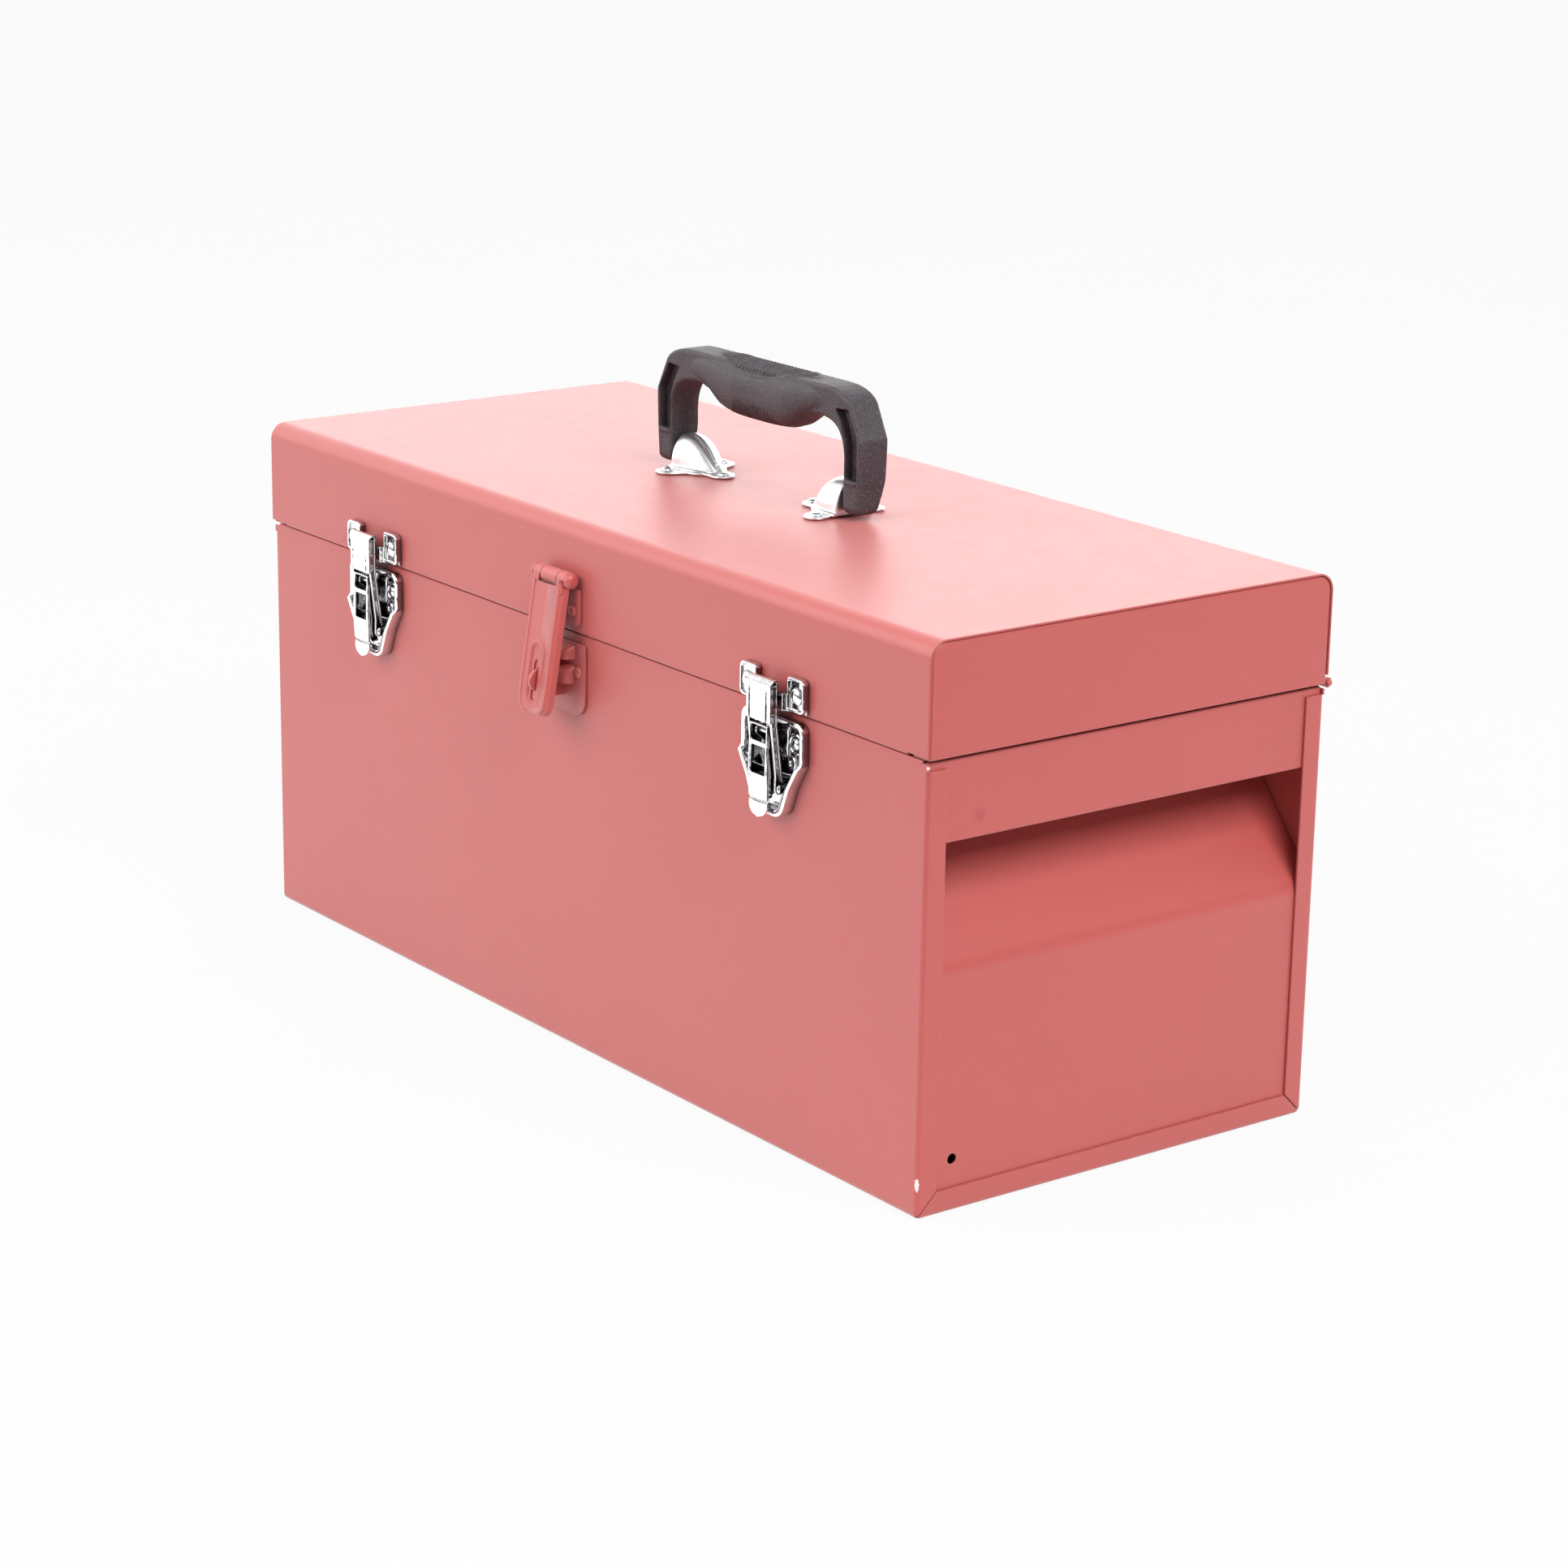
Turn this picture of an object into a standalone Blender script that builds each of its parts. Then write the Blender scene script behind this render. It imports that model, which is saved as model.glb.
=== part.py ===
"""Steel carpenter's toolbox with a hinged lid, two draw latches, a hasp, a folding handle
and a lift-out tray.

Origin: centre of the footprint on the floor. +X is the long side, to the right seen from
the front; the front is at -Y; +Z is up.
Sizes are in millimetres; MM turns them into metres when a mesh is written.
On the front wall, "out" is the distance forward of the body's front face and "up" is Z.
"""

import math

import bmesh
import bpy

MM = 0.001

# ---- driving dimensions -----------------------------------------------------------
SHEET = 0.9            # body and lid sheet steel
FOLD = 0.3             # air inside a folded hem, and between sheets that touch
FOLD_OUT = SHEET + FOLD / 2   # outer radius of a closed fold
FOLD_IN = FOLD / 2            # inner radius of a closed fold

BOX_X = 253.0          # body, half length outside
BOX_Y = 107.0          # body, half depth outside
RIM_FRONT = 192.0      # top of the front wall
RIM_BACK = 191.5       # top of the back wall, under the hinge leaves
FLANGE = 10.0          # body flange folded over each end panel
FLANGE_TOP = 188.0     # where that flange stops below the rim
BOX_BEND = 3.0         # bend radius along the bottom edges
HEM = 7.5              # depth of the rim hems
HEM_INSET = 3.6        # how far the rim hems stop short of each end

LID_X = 254.0
LID_Y = 108.0
LID_LOW = 193.6        # lower edge of the lid
LID_LOW_BACK = 195.6   # lower edge of the lid's back wall, clear of the hinge
LID_TOP = 241.0
LID_BEND = 8.0         # radius of the long top edges
LID_HEM = 9.5
LID_HEM_INSET = 13.0
LID_TURN = 18          # degrees for each step of the lid's bends
LID_OUT = LID_Y - BOX_Y + FOLD   # out to the back of parts riveted to the lid

HINGE_Y = 109.6
HINGE_Z = 192.6

LATCH_X = 156.0               # centre of each latch
LEVER_PIVOT = (6.6, 183.5)    # (out, up)
HOOK_PIVOT = (5.2, 160.5)     # (out, up), on the lever

HASP_OUT, HASP_UP = 5.8, 217.0   # hasp pivot

GRIP_Y = 2.5           # the handle's middle plane
GRIP_Z = 250.5         # its fold axis

TRAY_LOW = 164.3

PIN_PLAY = 0.09        # a bore's radius over its pin's
TURN = 22.5            # degrees for each step of an arc, unless given
SHARP_ANGLE = math.radians(35)

SIDES = ((-1, "left"), (1, "right"))

# name: (colour, roughness, metallic)
FINISH = {
    "red_paint": ((0.62, 0.13, 0.11), 0.42, 0.0),
    "chrome": ((0.86, 0.86, 0.87), 0.12, 1.0),
    "steel": ((0.60, 0.60, 0.60), 0.35, 1.0),
    "grip_plastic": ((0.075, 0.070, 0.075), 0.55, 0.0),
}

# Origin of each moving body, on its joint axis
PIVOTS = {
    "box": (0.0, 0.0, 0.0),
    "lid": (0.0, HINGE_Y, HINGE_Z),
    "handle": (0.0, GRIP_Y, GRIP_Z),
    "hasp_strap": (0.0, -BOX_Y - HASP_OUT, HASP_UP),
    "tray": (0.0, 0.0, TRAY_LOW),
}
for side, word in SIDES:
    for part, (out, up) in (("lever_", LEVER_PIVOT), ("hook_", HOOK_PIVOT)):
        PIVOTS[part + word] = (side * LATCH_X, -BOX_Y - out, up)

# ---- empty scene, then one empty for each moving body -----------------------------
for old in list(bpy.data.objects):
    bpy.data.objects.remove(old, do_unlink=True)

EMPTIES = {}
for body, pivot in PIVOTS.items():
    empty = bpy.data.objects.new("axis_" + body, None)
    empty.empty_display_size = 0.02
    empty.location = [c * MM for c in pivot]
    bpy.context.collection.objects.link(empty)
    EMPTIES[body] = empty


def material(name, colour, roughness, metallic):
    m = bpy.data.materials.new(name)
    m.use_nodes = True
    shader = m.node_tree.nodes["Principled BSDF"]
    shader.inputs["Base Color"].default_value = (*colour, 1.0)
    shader.inputs["Roughness"].default_value = roughness
    shader.inputs["Metallic"].default_value = metallic
    m.diffuse_color = (*colour, 1.0)
    return m


# ---- closed shapes ----------------------------------------------------------------
class Shape:
    """Corners are shared between faces; a face whose corners fall together is dropped."""

    def __init__(self):
        self.at = {}
        self.points = []
        self.faces = []

    def corner(self, point):
        key = tuple(round(c * 500.0) for c in point)
        if key not in self.at:
            self.at[key] = len(self.points)
            self.points.append(tuple(point))
        return self.at[key]

    def face(self, points):
        ids = []
        for point in points:
            i = self.corner(point)
            if not ids or ids[-1] != i:
                ids.append(i)
        while len(ids) > 1 and ids[0] == ids[-1]:
            ids.pop()
        if len(set(ids)) > 2:
            self.faces.append(ids)

    def loft(self, rings, start=True, end=True):
        """Joins closed rings of equal length; start and end cap the first and last."""
        n = len(rings[0])
        for a, b in zip(rings, rings[1:]):
            for i in range(n):
                j = (i + 1) % n
                self.face([a[i], a[j], b[j], b[i]])
        if start:
            self.face(list(rings[0]))
        if end:
            self.face(list(rings[-1]))
        return self

    def prism(self, outline, place, low, high):
        return self.loft([[place(u, v, w) for u, v in outline] for w in (low, high)])

    def heal(self):
        """Removes each triangle whose corners lie on one line."""
        k = 0
        while k < len(self.faces):
            ids = self.faces[k]
            if self.is_flat(ids) and self.give_middle(ids):
                self.faces.pop(k)
                k = 0
            else:
                k += 1
        return self

    def is_flat(self, ids):
        if len(ids) != 3:
            return False
        a, b, c = (self.points[i] for i in ids)
        ab = [b[i] - a[i] for i in range(3)]
        ac = [c[i] - a[i] for i in range(3)]
        cross = [ab[i - 2] * ac[i - 1] - ab[i - 1] * ac[i - 2] for i in range(3)]
        return math.hypot(*cross) < 1e-5

    def give_middle(self, flat):
        """Adds a flat triangle's middle corner to the face across its long edge."""
        def length(i):
            return math.dist(self.points[flat[i]], self.points[flat[(i + 1) % 3]])

        longest = max(range(3), key=length)
        start, end, middle = (flat[(longest + i) % 3] for i in range(3))
        for other in self.faces:
            if other is flat or middle in other:
                continue
            for i in range(len(other)):
                if {other[i], other[(i + 1) % len(other)]} == {start, end}:
                    other.insert(i + 1, middle)
                    return True
        return False


# ---- placing: each maps an outline (u, v) and its run w to (x, y, z) --------------
def along_x(u, v, w):
    return (w, u, v)


def along_y(u, v, w):
    return (u, w, v)


def along_z(u, v, w):
    return (u, v, w)


def front_view(x):
    """Maps (across, up, out) to the front wall."""
    return lambda u, v, w: (x + u, -BOX_Y - w, v)


def side_view(x):
    """Maps (out, up, across)."""
    return lambda u, v, w: (x + w, -BOX_Y - u, v)


def top_view(x):
    """Maps (across, out, up)."""
    return lambda u, v, w: (x + u, -BOX_Y - v, w)


def centred(place, u0, v0, w0=0.0):
    """Moves a mapping's origin to (u0, v0, w0)."""
    return lambda u, v, w: place(u0 + u, v0 + v, w0 + w)


# ---- outlines and paths -----------------------------------------------------------
def arc(cx, cy, r, start, end, turn):
    """Arc between two angles; all angles in degrees."""
    steps = max(1, math.ceil(abs(end - start) / turn - 1e-6))
    angles = [math.radians(start + (end - start) * k / steps) for k in range(steps + 1)]
    return [(cx + r * math.cos(a), cy + r * math.sin(a)) for a in angles]


def disc(cx, cy, r, sides):
    angles = [2 * math.pi * (k + 0.5) / sides for k in range(sides)]
    return [(cx + r * math.cos(a), cy + r * math.sin(a)) for a in angles]


def rounded(points, turn=TURN):
    """An outline or path whose corners (x, y, radius) become arcs; (x, y) stays sharp."""
    out = []
    for i, p in enumerate(points):
        if len(p) > 2:
            out += arc_corner(points[i - 1], p, points[(i + 1) % len(points)], turn)
        else:
            out.append(p)
    return out


def arc_corner(before, corner, after, turn):
    """The arc that rounds a corner. A positive turn is degrees per step; a negative one
    is a fixed number of steps."""
    x, y, r = corner
    ux, uy = before[0] - x, before[1] - y
    vx, vy = after[0] - x, after[1] - y
    u_length, v_length = math.hypot(ux, uy), math.hypot(vx, vy)
    ux, uy, vx, vy = ux / u_length, uy / u_length, vx / v_length, vy / v_length
    angle = math.acos(max(-1.0, min(1.0, ux * vx + uy * vy)))
    if angle > math.pi - 1e-4:
        return [(x, y)]
    tangent = r / math.tan(angle / 2)
    reach = r / math.sin(angle / 2)
    bx, by = ux + vx, uy + vy
    b_length = math.hypot(bx, by)
    cx, cy = x + bx / b_length * reach, y + by / b_length * reach
    start = math.atan2(y + uy * tangent - cy, x + ux * tangent - cx)
    end = math.atan2(y + vy * tangent - cy, x + vx * tangent - cx)
    sweep = (end - start + math.pi) % (2 * math.pi) - math.pi
    if turn > 0:
        steps = max(1, math.ceil(abs(math.degrees(sweep)) / turn - 1e-6))
    else:
        steps = int(-turn)
    angles = [start + sweep * k / steps for k in range(steps + 1)]
    return [(cx + r * math.cos(a), cy + r * math.sin(a)) for a in angles]


def rounded_box(x0, y0, x1, y1, r, turn):
    return rounded([(x0, y0, r), (x1, y0, r), (x1, y1, r), (x0, y1, r)], turn)


def mirrored(points, side):
    """Points with their first coordinate multiplied by side."""
    return [(side * x, y) for x, y in points]


def ribbon(path, thick):
    """The closed outline of a bent sheet whose middle line is the path."""
    left, right = [], []
    for i, (x, y) in enumerate(path):
        directions = []
        for a, b in zip(path[max(0, i - 1):i + 1], path[max(0, i - 1) + 1:i + 2]):
            length = math.hypot(b[0] - a[0], b[1] - a[1])
            directions.append(((b[0] - a[0]) / length, (b[1] - a[1]) / length))
        nx = sum(-d[1] for d in directions)
        ny = sum(d[0] for d in directions)
        length = math.hypot(nx, ny)
        nx, ny = nx / length, ny / length
        # a mitre is longer than half the sheet, but limited at tight corners
        miter = thick / 2 / max(0.2, -directions[0][1] * nx + directions[0][0] * ny)
        left.append((x + nx * miter, y + ny * miter))
        right.append((x - nx * miter, y - ny * miter))
    return left + right[::-1]


def spin(profile, place, sides):
    """Revolves (radius, height) about the axis that place maps heights along. Ends on the
    axis close with a point."""
    rings = [[place(u, v, h) for u, v in disc(0, 0, r, sides)] for r, h in profile]
    return Shape().loft(rings, start=profile[0][0] > 0.001, end=profile[-1][0] > 0.001)


def pin_profile(radius, end_radius, half, taper):
    """Profile of a pin whose ends narrow over the taper."""
    shoulder = half - taper
    return [(end_radius, -half), (radius, -shoulder), (radius, shoulder), (end_radius, half)]


# ---- objects ----------------------------------------------------------------------
def make(name, shape, finish, body="box"):
    """Writes a shape as an object under its body's empty. Without a finish it is a
    helper for a boolean, hidden from renders."""
    px, py, pz = PIVOTS[body]
    bm = bmesh.new()
    verts = [
        bm.verts.new(((x - px) * MM, (y - py) * MM, (z - pz) * MM)) for x, y, z in shape.points
    ]
    for ids in shape.faces:
        corners = [verts[i] for i in ids]
        if bm.faces.get(corners) is None:
            bm.faces.new(corners)
    bmesh.ops.recalc_face_normals(bm, faces=bm.faces)
    mesh = bpy.data.meshes.new(name)
    bm.to_mesh(mesh)
    bm.free()
    mesh.shade_smooth()
    mesh.set_sharp_from_angle(angle=SHARP_ANGLE)
    ob = bpy.data.objects.new(name, mesh)
    bpy.context.collection.objects.link(ob)
    ob.parent = EMPTIES[body]
    if finish is None:
        ob.hide_render = True
        ob.display_type = "WIRE"
    else:
        mesh.materials.append(material(name + "_" + finish, *FINISH[finish]))
    return ob


def boolean(ob, shape, prefix, operation):
    body = ob.parent.name.removeprefix("axis_")
    helper = make("%s_%s_%d" % (prefix, ob.name, len(ob.modifiers)), shape, None, body)
    modifier = ob.modifiers.new(operation.lower() + "_" + helper.name, "BOOLEAN")
    modifier.operation = operation
    modifier.solver = "EXACT"
    modifier.object = helper


def add(ob, shape):
    """Unions one more closed shape into an object."""
    boolean(ob, shape, "form", "UNION")


def cut(ob, shape):
    boolean(ob, shape, "cut", "DIFFERENCE")


# ---- body and lid skins -----------------------------------------------------------
# A skin is a list of stations (outer point, inner point, flange tip or None, full) in the
# Y-Z plane. The flange tips draw the flange that folds over each end; stations that are
# not full belong to a hem, which is narrower.
def wrapped_sheet(stations, half, hem_half):
    """Runs the stations' sheet across X between +-half, its hems between +-hem_half."""
    rings = []
    for outer, inner, tip, full in stations:
        h = half if full else hem_half
        hi = half - SHEET if full else hem_half
        rings.append([
            (-h, *outer), (-hem_half, *outer), (hem_half, *outer), (h, *outer),
            (h, *inner), (h, *tip), (hi, *tip), (hi, *inner),
            (hem_half, *inner), (-hem_half, *inner),
            (-hi, *inner), (-hi, *tip), (-h, *tip), (-h, *inner),
        ])
    return Shape().loft(rings).heal()


def placed_half(side, stations):
    """Turns stations drawn at +Y to the given side; a missing tip falls on the inner point."""
    def at(point):
        return (side * point[0], point[1])

    return [(at(outer), at(inner), at(tip or inner), full) for outer, inner, tip, full in stations]


def bend(cy, cz, r_out, r_in, start, end, turn):
    """Pairs of outer and inner points round a bend."""
    return zip(arc(cy, cz, r_out, start, end, turn), arc(cy, cz, r_in, start, end, turn))


def hem(y, edge, depth, way):
    """Stations from a hem's free end round its fold to the wall; way is the Z direction
    from the folded edge into the wall."""
    end_z, fold_z = edge + way * depth, edge + way * FOLD_OUT
    stations = [((y - 2 * FOLD_OUT, end_z), (y - FOLD_OUT - FOLD_IN, end_z), None, False)]
    for outer, inner in bend(y - FOLD_OUT, fold_z, FOLD_OUT, FOLD_IN, -way * 180, 0, 45):
        stations.append((outer, inner, None, False))
    return stations + [((y, fold_z), (y - SHEET, fold_z), None, True)]


def body_half(side, rim):
    """Stations from the rim hem down to the flange line of the bottom."""
    inner_y, tip_y = BOX_Y - SHEET, BOX_Y - FLANGE
    low_tip = (tip_y, FLANGE)
    stations = hem(BOX_Y, rim, HEM, -1) + [
        ((BOX_Y, FLANGE_TOP), (inner_y, FLANGE_TOP), None, True),
        ((BOX_Y, FLANGE_TOP), (inner_y, FLANGE_TOP), (tip_y, FLANGE_TOP), True),
        ((BOX_Y, FLANGE), (inner_y, FLANGE), low_tip, True),
    ]
    for outer, inner in bend(BOX_Y - BOX_BEND, BOX_BEND, BOX_BEND, BOX_BEND - SHEET, 0, -90, 30):
        stations.append((outer, inner, low_tip, True))
    stations.append(((tip_y, 0.0), (tip_y, SHEET), low_tip, True))
    return placed_half(side, stations)


def lid_half(side, low):
    """Stations from the lower hem up and round the long top edge."""
    stations = hem(LID_Y, low, LID_HEM, 1)
    for outer, inner in bend(
        LID_Y - LID_BEND, LID_TOP - LID_BEND, LID_BEND, LID_BEND - SHEET, 0, 90, LID_TURN
    ):
        stations.append((outer, inner, None, True))
    return placed_half(side, stations)


body_stations = body_half(-1, RIM_FRONT) + body_half(1, RIM_BACK)[::-1]
body_shell = make(
    "body_shell", wrapped_sheet(body_stations, BOX_X, BOX_X - HEM_INSET), "red_paint"
)
lid_stations = lid_half(-1, LID_LOW) + lid_half(1, LID_LOW_BACK)[::-1]
lid_skin = make(
    "lid_skin", wrapped_sheet(lid_stations, LID_X, LID_X - LID_HEM_INSET), "red_paint", "lid"
)

# ---- lid end caps -----------------------------------------------------------------
CAP_FLANGE = 10.0
CAP_INSET = 0.3        # from the lid's end to the cap's face
CAP_GAP = 0.25         # air between the cap's flange and the lid


def lid_cap(side):
    """Pan-shaped end of the lid: a face plate and one flange round its front, top and back."""
    half_y = LID_Y - SHEET - CAP_GAP
    radius = LID_BEND - SHEET - CAP_GAP
    bend_y, bend_z = half_y - radius, LID_TOP - SHEET - CAP_GAP - radius

    def outline(x, inset):
        points = (
            [(-half_y + inset, LID_LOW)]
            + arc(-bend_y, bend_z, radius - inset, 180, 90, LID_TURN)
            + arc(bend_y, bend_z, radius - inset, 90, 0, LID_TURN)
            + [(half_y - inset, LID_LOW)]
        )
        return [(side * x, y, z) for y, z in points]

    face_x = LID_X - CAP_INSET
    rows = [
        outline(face_x, 0.0), outline(face_x - CAP_FLANGE, 0.0),
        outline(face_x - CAP_FLANGE, SHEET), outline(face_x - SHEET, SHEET),
    ]
    shape = Shape()
    for p, q in zip(rows, rows[1:]):
        for k in range(len(p) - 1):
            shape.face([p[k], p[k + 1], q[k + 1], q[k]])
    shape.face(rows[0])
    shape.face(rows[-1])
    shape.face([row[0] for row in rows] + [row[-1] for row in reversed(rows)])
    return shape


for side, word in SIDES:
    make("lid_end_cap_" + word, lid_cap(side), "red_paint", "lid")

# ---- end panels with the carrying pocket, and the bands above it ------------------
PANEL_X = BOX_X - SHEET - FOLD - SHEET / 2   # middle of the end sheets
PANEL_Y = 105.7        # half width of the end sheets
PANEL_FOOT = 9.0       # flange turned in over the bottom
PANEL_TOP = 175.0
FOLD_STEP = SHEET + FOLD   # between the middles of two folded sheets
POCKET_LOW = 105.0     # where the end panel starts to lean inwards
POCKET_X = 214.3       # back of the carrying pocket
POCKET_LEAN = math.tan(math.radians(38.9))
POCKET_ROOF = 163.4
BAND_LOW = 156.9       # lower edge of the end band
BAND_TURN_UP = 4.5     # return behind the band's lower fold
BAND_TURN_DOWN = 7.0   # return behind its upper fold
PANEL_HOLE = (-88.0, 22.2, 2.25)   # small round hole near the bottom front: y, z, radius


def panel_path():
    """Middle line (x, z) of the right end panel."""
    foot_z = SHEET + FOLD + SHEET / 2
    lean_top = POCKET_LOW + (PANEL_X - POCKET_X) / POCKET_LEAN
    behind = PANEL_X - FOLD_STEP
    return rounded([
        (PANEL_X - PANEL_FOOT, foot_z), (PANEL_X, foot_z, 1.2), (PANEL_X, POCKET_LOW, 14.0),
        (POCKET_X, lean_top, 8.0), (POCKET_X, POCKET_ROOF, 1.6), (behind, POCKET_ROOF, 1.0),
        (behind, PANEL_TOP),
    ])


def band_path():
    """Middle line (x, z) of the right band, folded inwards along both edges."""
    radius = FOLD_STEP / 2
    low, top = BAND_LOW + SHEET / 2 + radius, RIM_BACK - SHEET / 2 - radius
    return (
        [(PANEL_X - FOLD_STEP, low + BAND_TURN_UP)]
        + arc(PANEL_X - radius, low, radius, 180, 360, 60)
        + arc(PANEL_X - radius, top, radius, 0, 180, 60)
        + [(PANEL_X - FOLD_STEP, top - BAND_TURN_DOWN)]
    )


def end_sheet(name, path):
    return make(name, Shape().prism(ribbon(path, SHEET), along_y, -PANEL_Y, PANEL_Y), "red_paint")


for side, word in SIDES:
    panel = end_sheet("end_panel_" + word, mirrored(panel_path(), side))
    cut(panel, Shape().prism(disc(*PANEL_HOLE, 12), along_x, side * 240.0, side * 260.0))
    # the foot's corners are notched to clear the body's bottom bends
    notches = Shape()
    notch = mirrored([(239.0, 0.5), (255.0, 0.5), (255.0, 3.6), (239.0, 3.6)], side)
    for end in (-1, 1):
        notches.prism(notch, along_y, end * 103.4, end * 107.0)
    cut(panel, notches)
    end_sheet("end_band_" + word, mirrored(band_path(), side))

# ---- piano hinge ------------------------------------------------------------------
HINGE_PIN = 1.5
CURL_PLAY = 0.08       # between the pin and the curled knuckles
LEAF = 0.6             # leaf thickness
LEAF_GAP = 0.1         # from the hinge axis level to each leaf
LEAF_DROP = 16.5       # reach of each leaf along its wall
LEAF_ROOT = 2.4        # from the axis forward to where the curl meets the leaf
BODY_LEAF_X = 249.2    # half lengths
LID_LEAF_X = 252.4
KNUCKLES = 17
KNUCKLE_GAP = 0.15     # trimmed from each end of a knuckle


def hinge_leaf(flip, half, wall_y, first):
    """One leaf with its curled knuckles, every other one from the first. flip is 1 for the
    body leaf, whose plate lies below the axis, and -1 for the lid leaf."""
    def at(y, dz):
        return (y, HINGE_Z + flip * dz)

    root_y = HINGE_Y - LEAF_ROOT
    near, far = -LEAF_GAP, -LEAF_GAP - LEAF
    plate_y = wall_y - 2 * FOLD_OUT - FOLD - LEAF / 2
    tail = [
        at(root_y, far), at(plate_y + LEAF / 2, far), at(plate_y + LEAF / 2, -LEAF_DROP),
        at(plate_y - LEAF / 2, -LEAF_DROP), at(plate_y - LEAF / 2, near), at(root_y, near),
    ]
    r_in = HINGE_PIN + CURL_PLAY
    r_out = r_in + LEAF
    start_out = 180 - math.degrees(math.asin(far / r_out))
    start_in = 180 - math.degrees(math.asin(near / r_in))
    curl = (
        arc(HINGE_Y, 0.0, r_out, start_out, 525, 30) + arc(HINGE_Y, 0.0, r_in, 525, start_in, 30)
    )
    loop = [tail[0]] + [at(y, dz) for y, dz in curl] + [tail[-1]]

    pitch = 2 * LID_LEAF_X / KNUCKLES
    knuckles = [
        (-LID_LEAF_X + k * pitch + KNUCKLE_GAP, -LID_LEAF_X + (k + 1) * pitch - KNUCKLE_GAP)
        for k in range(first, KNUCKLES, 2)
    ]
    xs = sorted({-half, half}.union(*knuckles))
    shape = Shape()

    def strip(a, b, lo, hi):
        shape.face([(lo, *a), (lo, *b), (hi, *b), (hi, *a)])

    for lo, hi in zip(xs, xs[1:]):
        for a, b in zip(tail, tail[1:]):
            strip(a, b, lo, hi)
        if (lo, hi) in knuckles:
            for a, b in zip(loop, loop[1:]):
                strip(a, b, lo, hi)
            for x in (lo, hi):
                shape.face([(x, *p) for p in loop])
        else:
            strip(tail[0], tail[-1], lo, hi)
    for x in (xs[0], xs[-1]):
        shape.face([(x, *p) for p in tail])
    return shape


make("hinge_leaf_body", hinge_leaf(1, BODY_LEAF_X, BOX_Y, 1), "red_paint")
make("hinge_leaf_lid", hinge_leaf(-1, LID_LEAF_X, LID_Y, 0), "red_paint", "lid")
make(
    "hinge_pin",
    spin(pin_profile(HINGE_PIN, HINGE_PIN * 0.8, BOX_X + 0.3, 0.3),
         centred(along_x, HINGE_Y, HINGE_Z), 12),
    "steel",
)

# ---- rivets -----------------------------------------------------------------------
RIVET_HOLE = 1.62
RIVET_SHANK = 1.5
RIVET_HEAD = 2.6       # head radius
RIVET_HIGH = 1.5       # head height
RIVET_SEAT = 0.1       # air under the head and before the tail

# Holes through the skins, gathered here and cut once all rivets are placed
SKIN_HOLES = {"box": Shape(), "lid": Shape()}
# Inner face of the front wall at the rivets, and how far behind the body's front face
# the fittings' own holes run
FRONT_WALL = {"box": (BOX_Y - SHEET, 1.0), "lid": (LID_Y - 2 * FOLD_OUT, -0.5)}


def rivet(place, grip):
    """Domed head above height 0, a shank through the grip, and a flattened tail."""
    tail = -grip - RIVET_SEAT
    return spin([
        (0.0, RIVET_HIGH), (RIVET_HEAD * 0.55, RIVET_HIGH * 0.86),
        (RIVET_HEAD * 0.9, RIVET_HIGH * 0.45), (RIVET_HEAD, RIVET_SEAT),
        (RIVET_SHANK, RIVET_SEAT), (RIVET_SHANK, tail), (RIVET_HEAD * 0.9, tail),
        (RIVET_HEAD * 0.8, -grip - 1.0), (0.0, -grip - 1.1),
    ], place, 8)


def rivet_hole(x, y):
    return disc(x, y, RIVET_HOLE, 10)


def front_rivets(ob, name, x, offset, z, out, hole_out, finish, body):
    """Two rivets at x -+ offset through a fitting and the front wall. Their heads sit at
    out; the fitting's holes start at hole_out."""
    inner_y, hole_back = FRONT_WALL[body]
    holes = Shape()
    for n, rivet_x in enumerate((x - offset, x + offset), 1):
        hole = rivet_hole(rivet_x, z)
        holes.prism(hole, along_y, -BOX_Y - hole_out, -BOX_Y + hole_back)
        SKIN_HOLES[body].prism(hole, along_y, -BOX_Y - 3.0, -BOX_Y + 4.0)
        place = centred(front_view(0.0), rivet_x, z, out)
        make("%s_rivet_%d" % (name, n), rivet(place, BOX_Y + out - inner_y), finish, body)
    cut(ob, holes)


# ---- draw latches -----------------------------------------------------------------
LATCH_PIN = 1.2
LATCH_PIN_END = 0.9    # radius of the pins' ends
LATCH_STEEL = 1.0      # lever and hook sheet
PLATE_FLOOR = 1.2      # out to the dished face of the base plate
KEEPER_LOW, KEEPER_TOP = 194.0, 201.2
HOOK_HALF = 8.2        # half width of the hook


def latch_bore(shape, x, pivot, half):
    return shape.prism(disc(*pivot, LATCH_PIN + PIN_PLAY, 16), side_view(x), -half, half)


def latch_pin(name, x, pivot, half, body):
    profile = pin_profile(LATCH_PIN, LATCH_PIN_END, half, 0.2)
    make(name, spin(profile, centred(side_view(x), *pivot), 16), "chrome", body)


def plate_loop(inset):
    """Base plate outline (across, up): rounded shoulders, a taper to a round foot."""
    wide, foot = 21.0 - inset, 6.0 - inset
    top, low = 190.0 - inset, 146.0 + inset
    left = [
        (-wide, top, 4.0 - inset), (-wide, 168.5, 8.0),
        (-foot - 3.0, 152.0, 6.0), (-foot, low, 4.5 - inset),
    ]
    return rounded(left + [(-u, v, r) for u, v, r in reversed(left)], -3)


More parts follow.
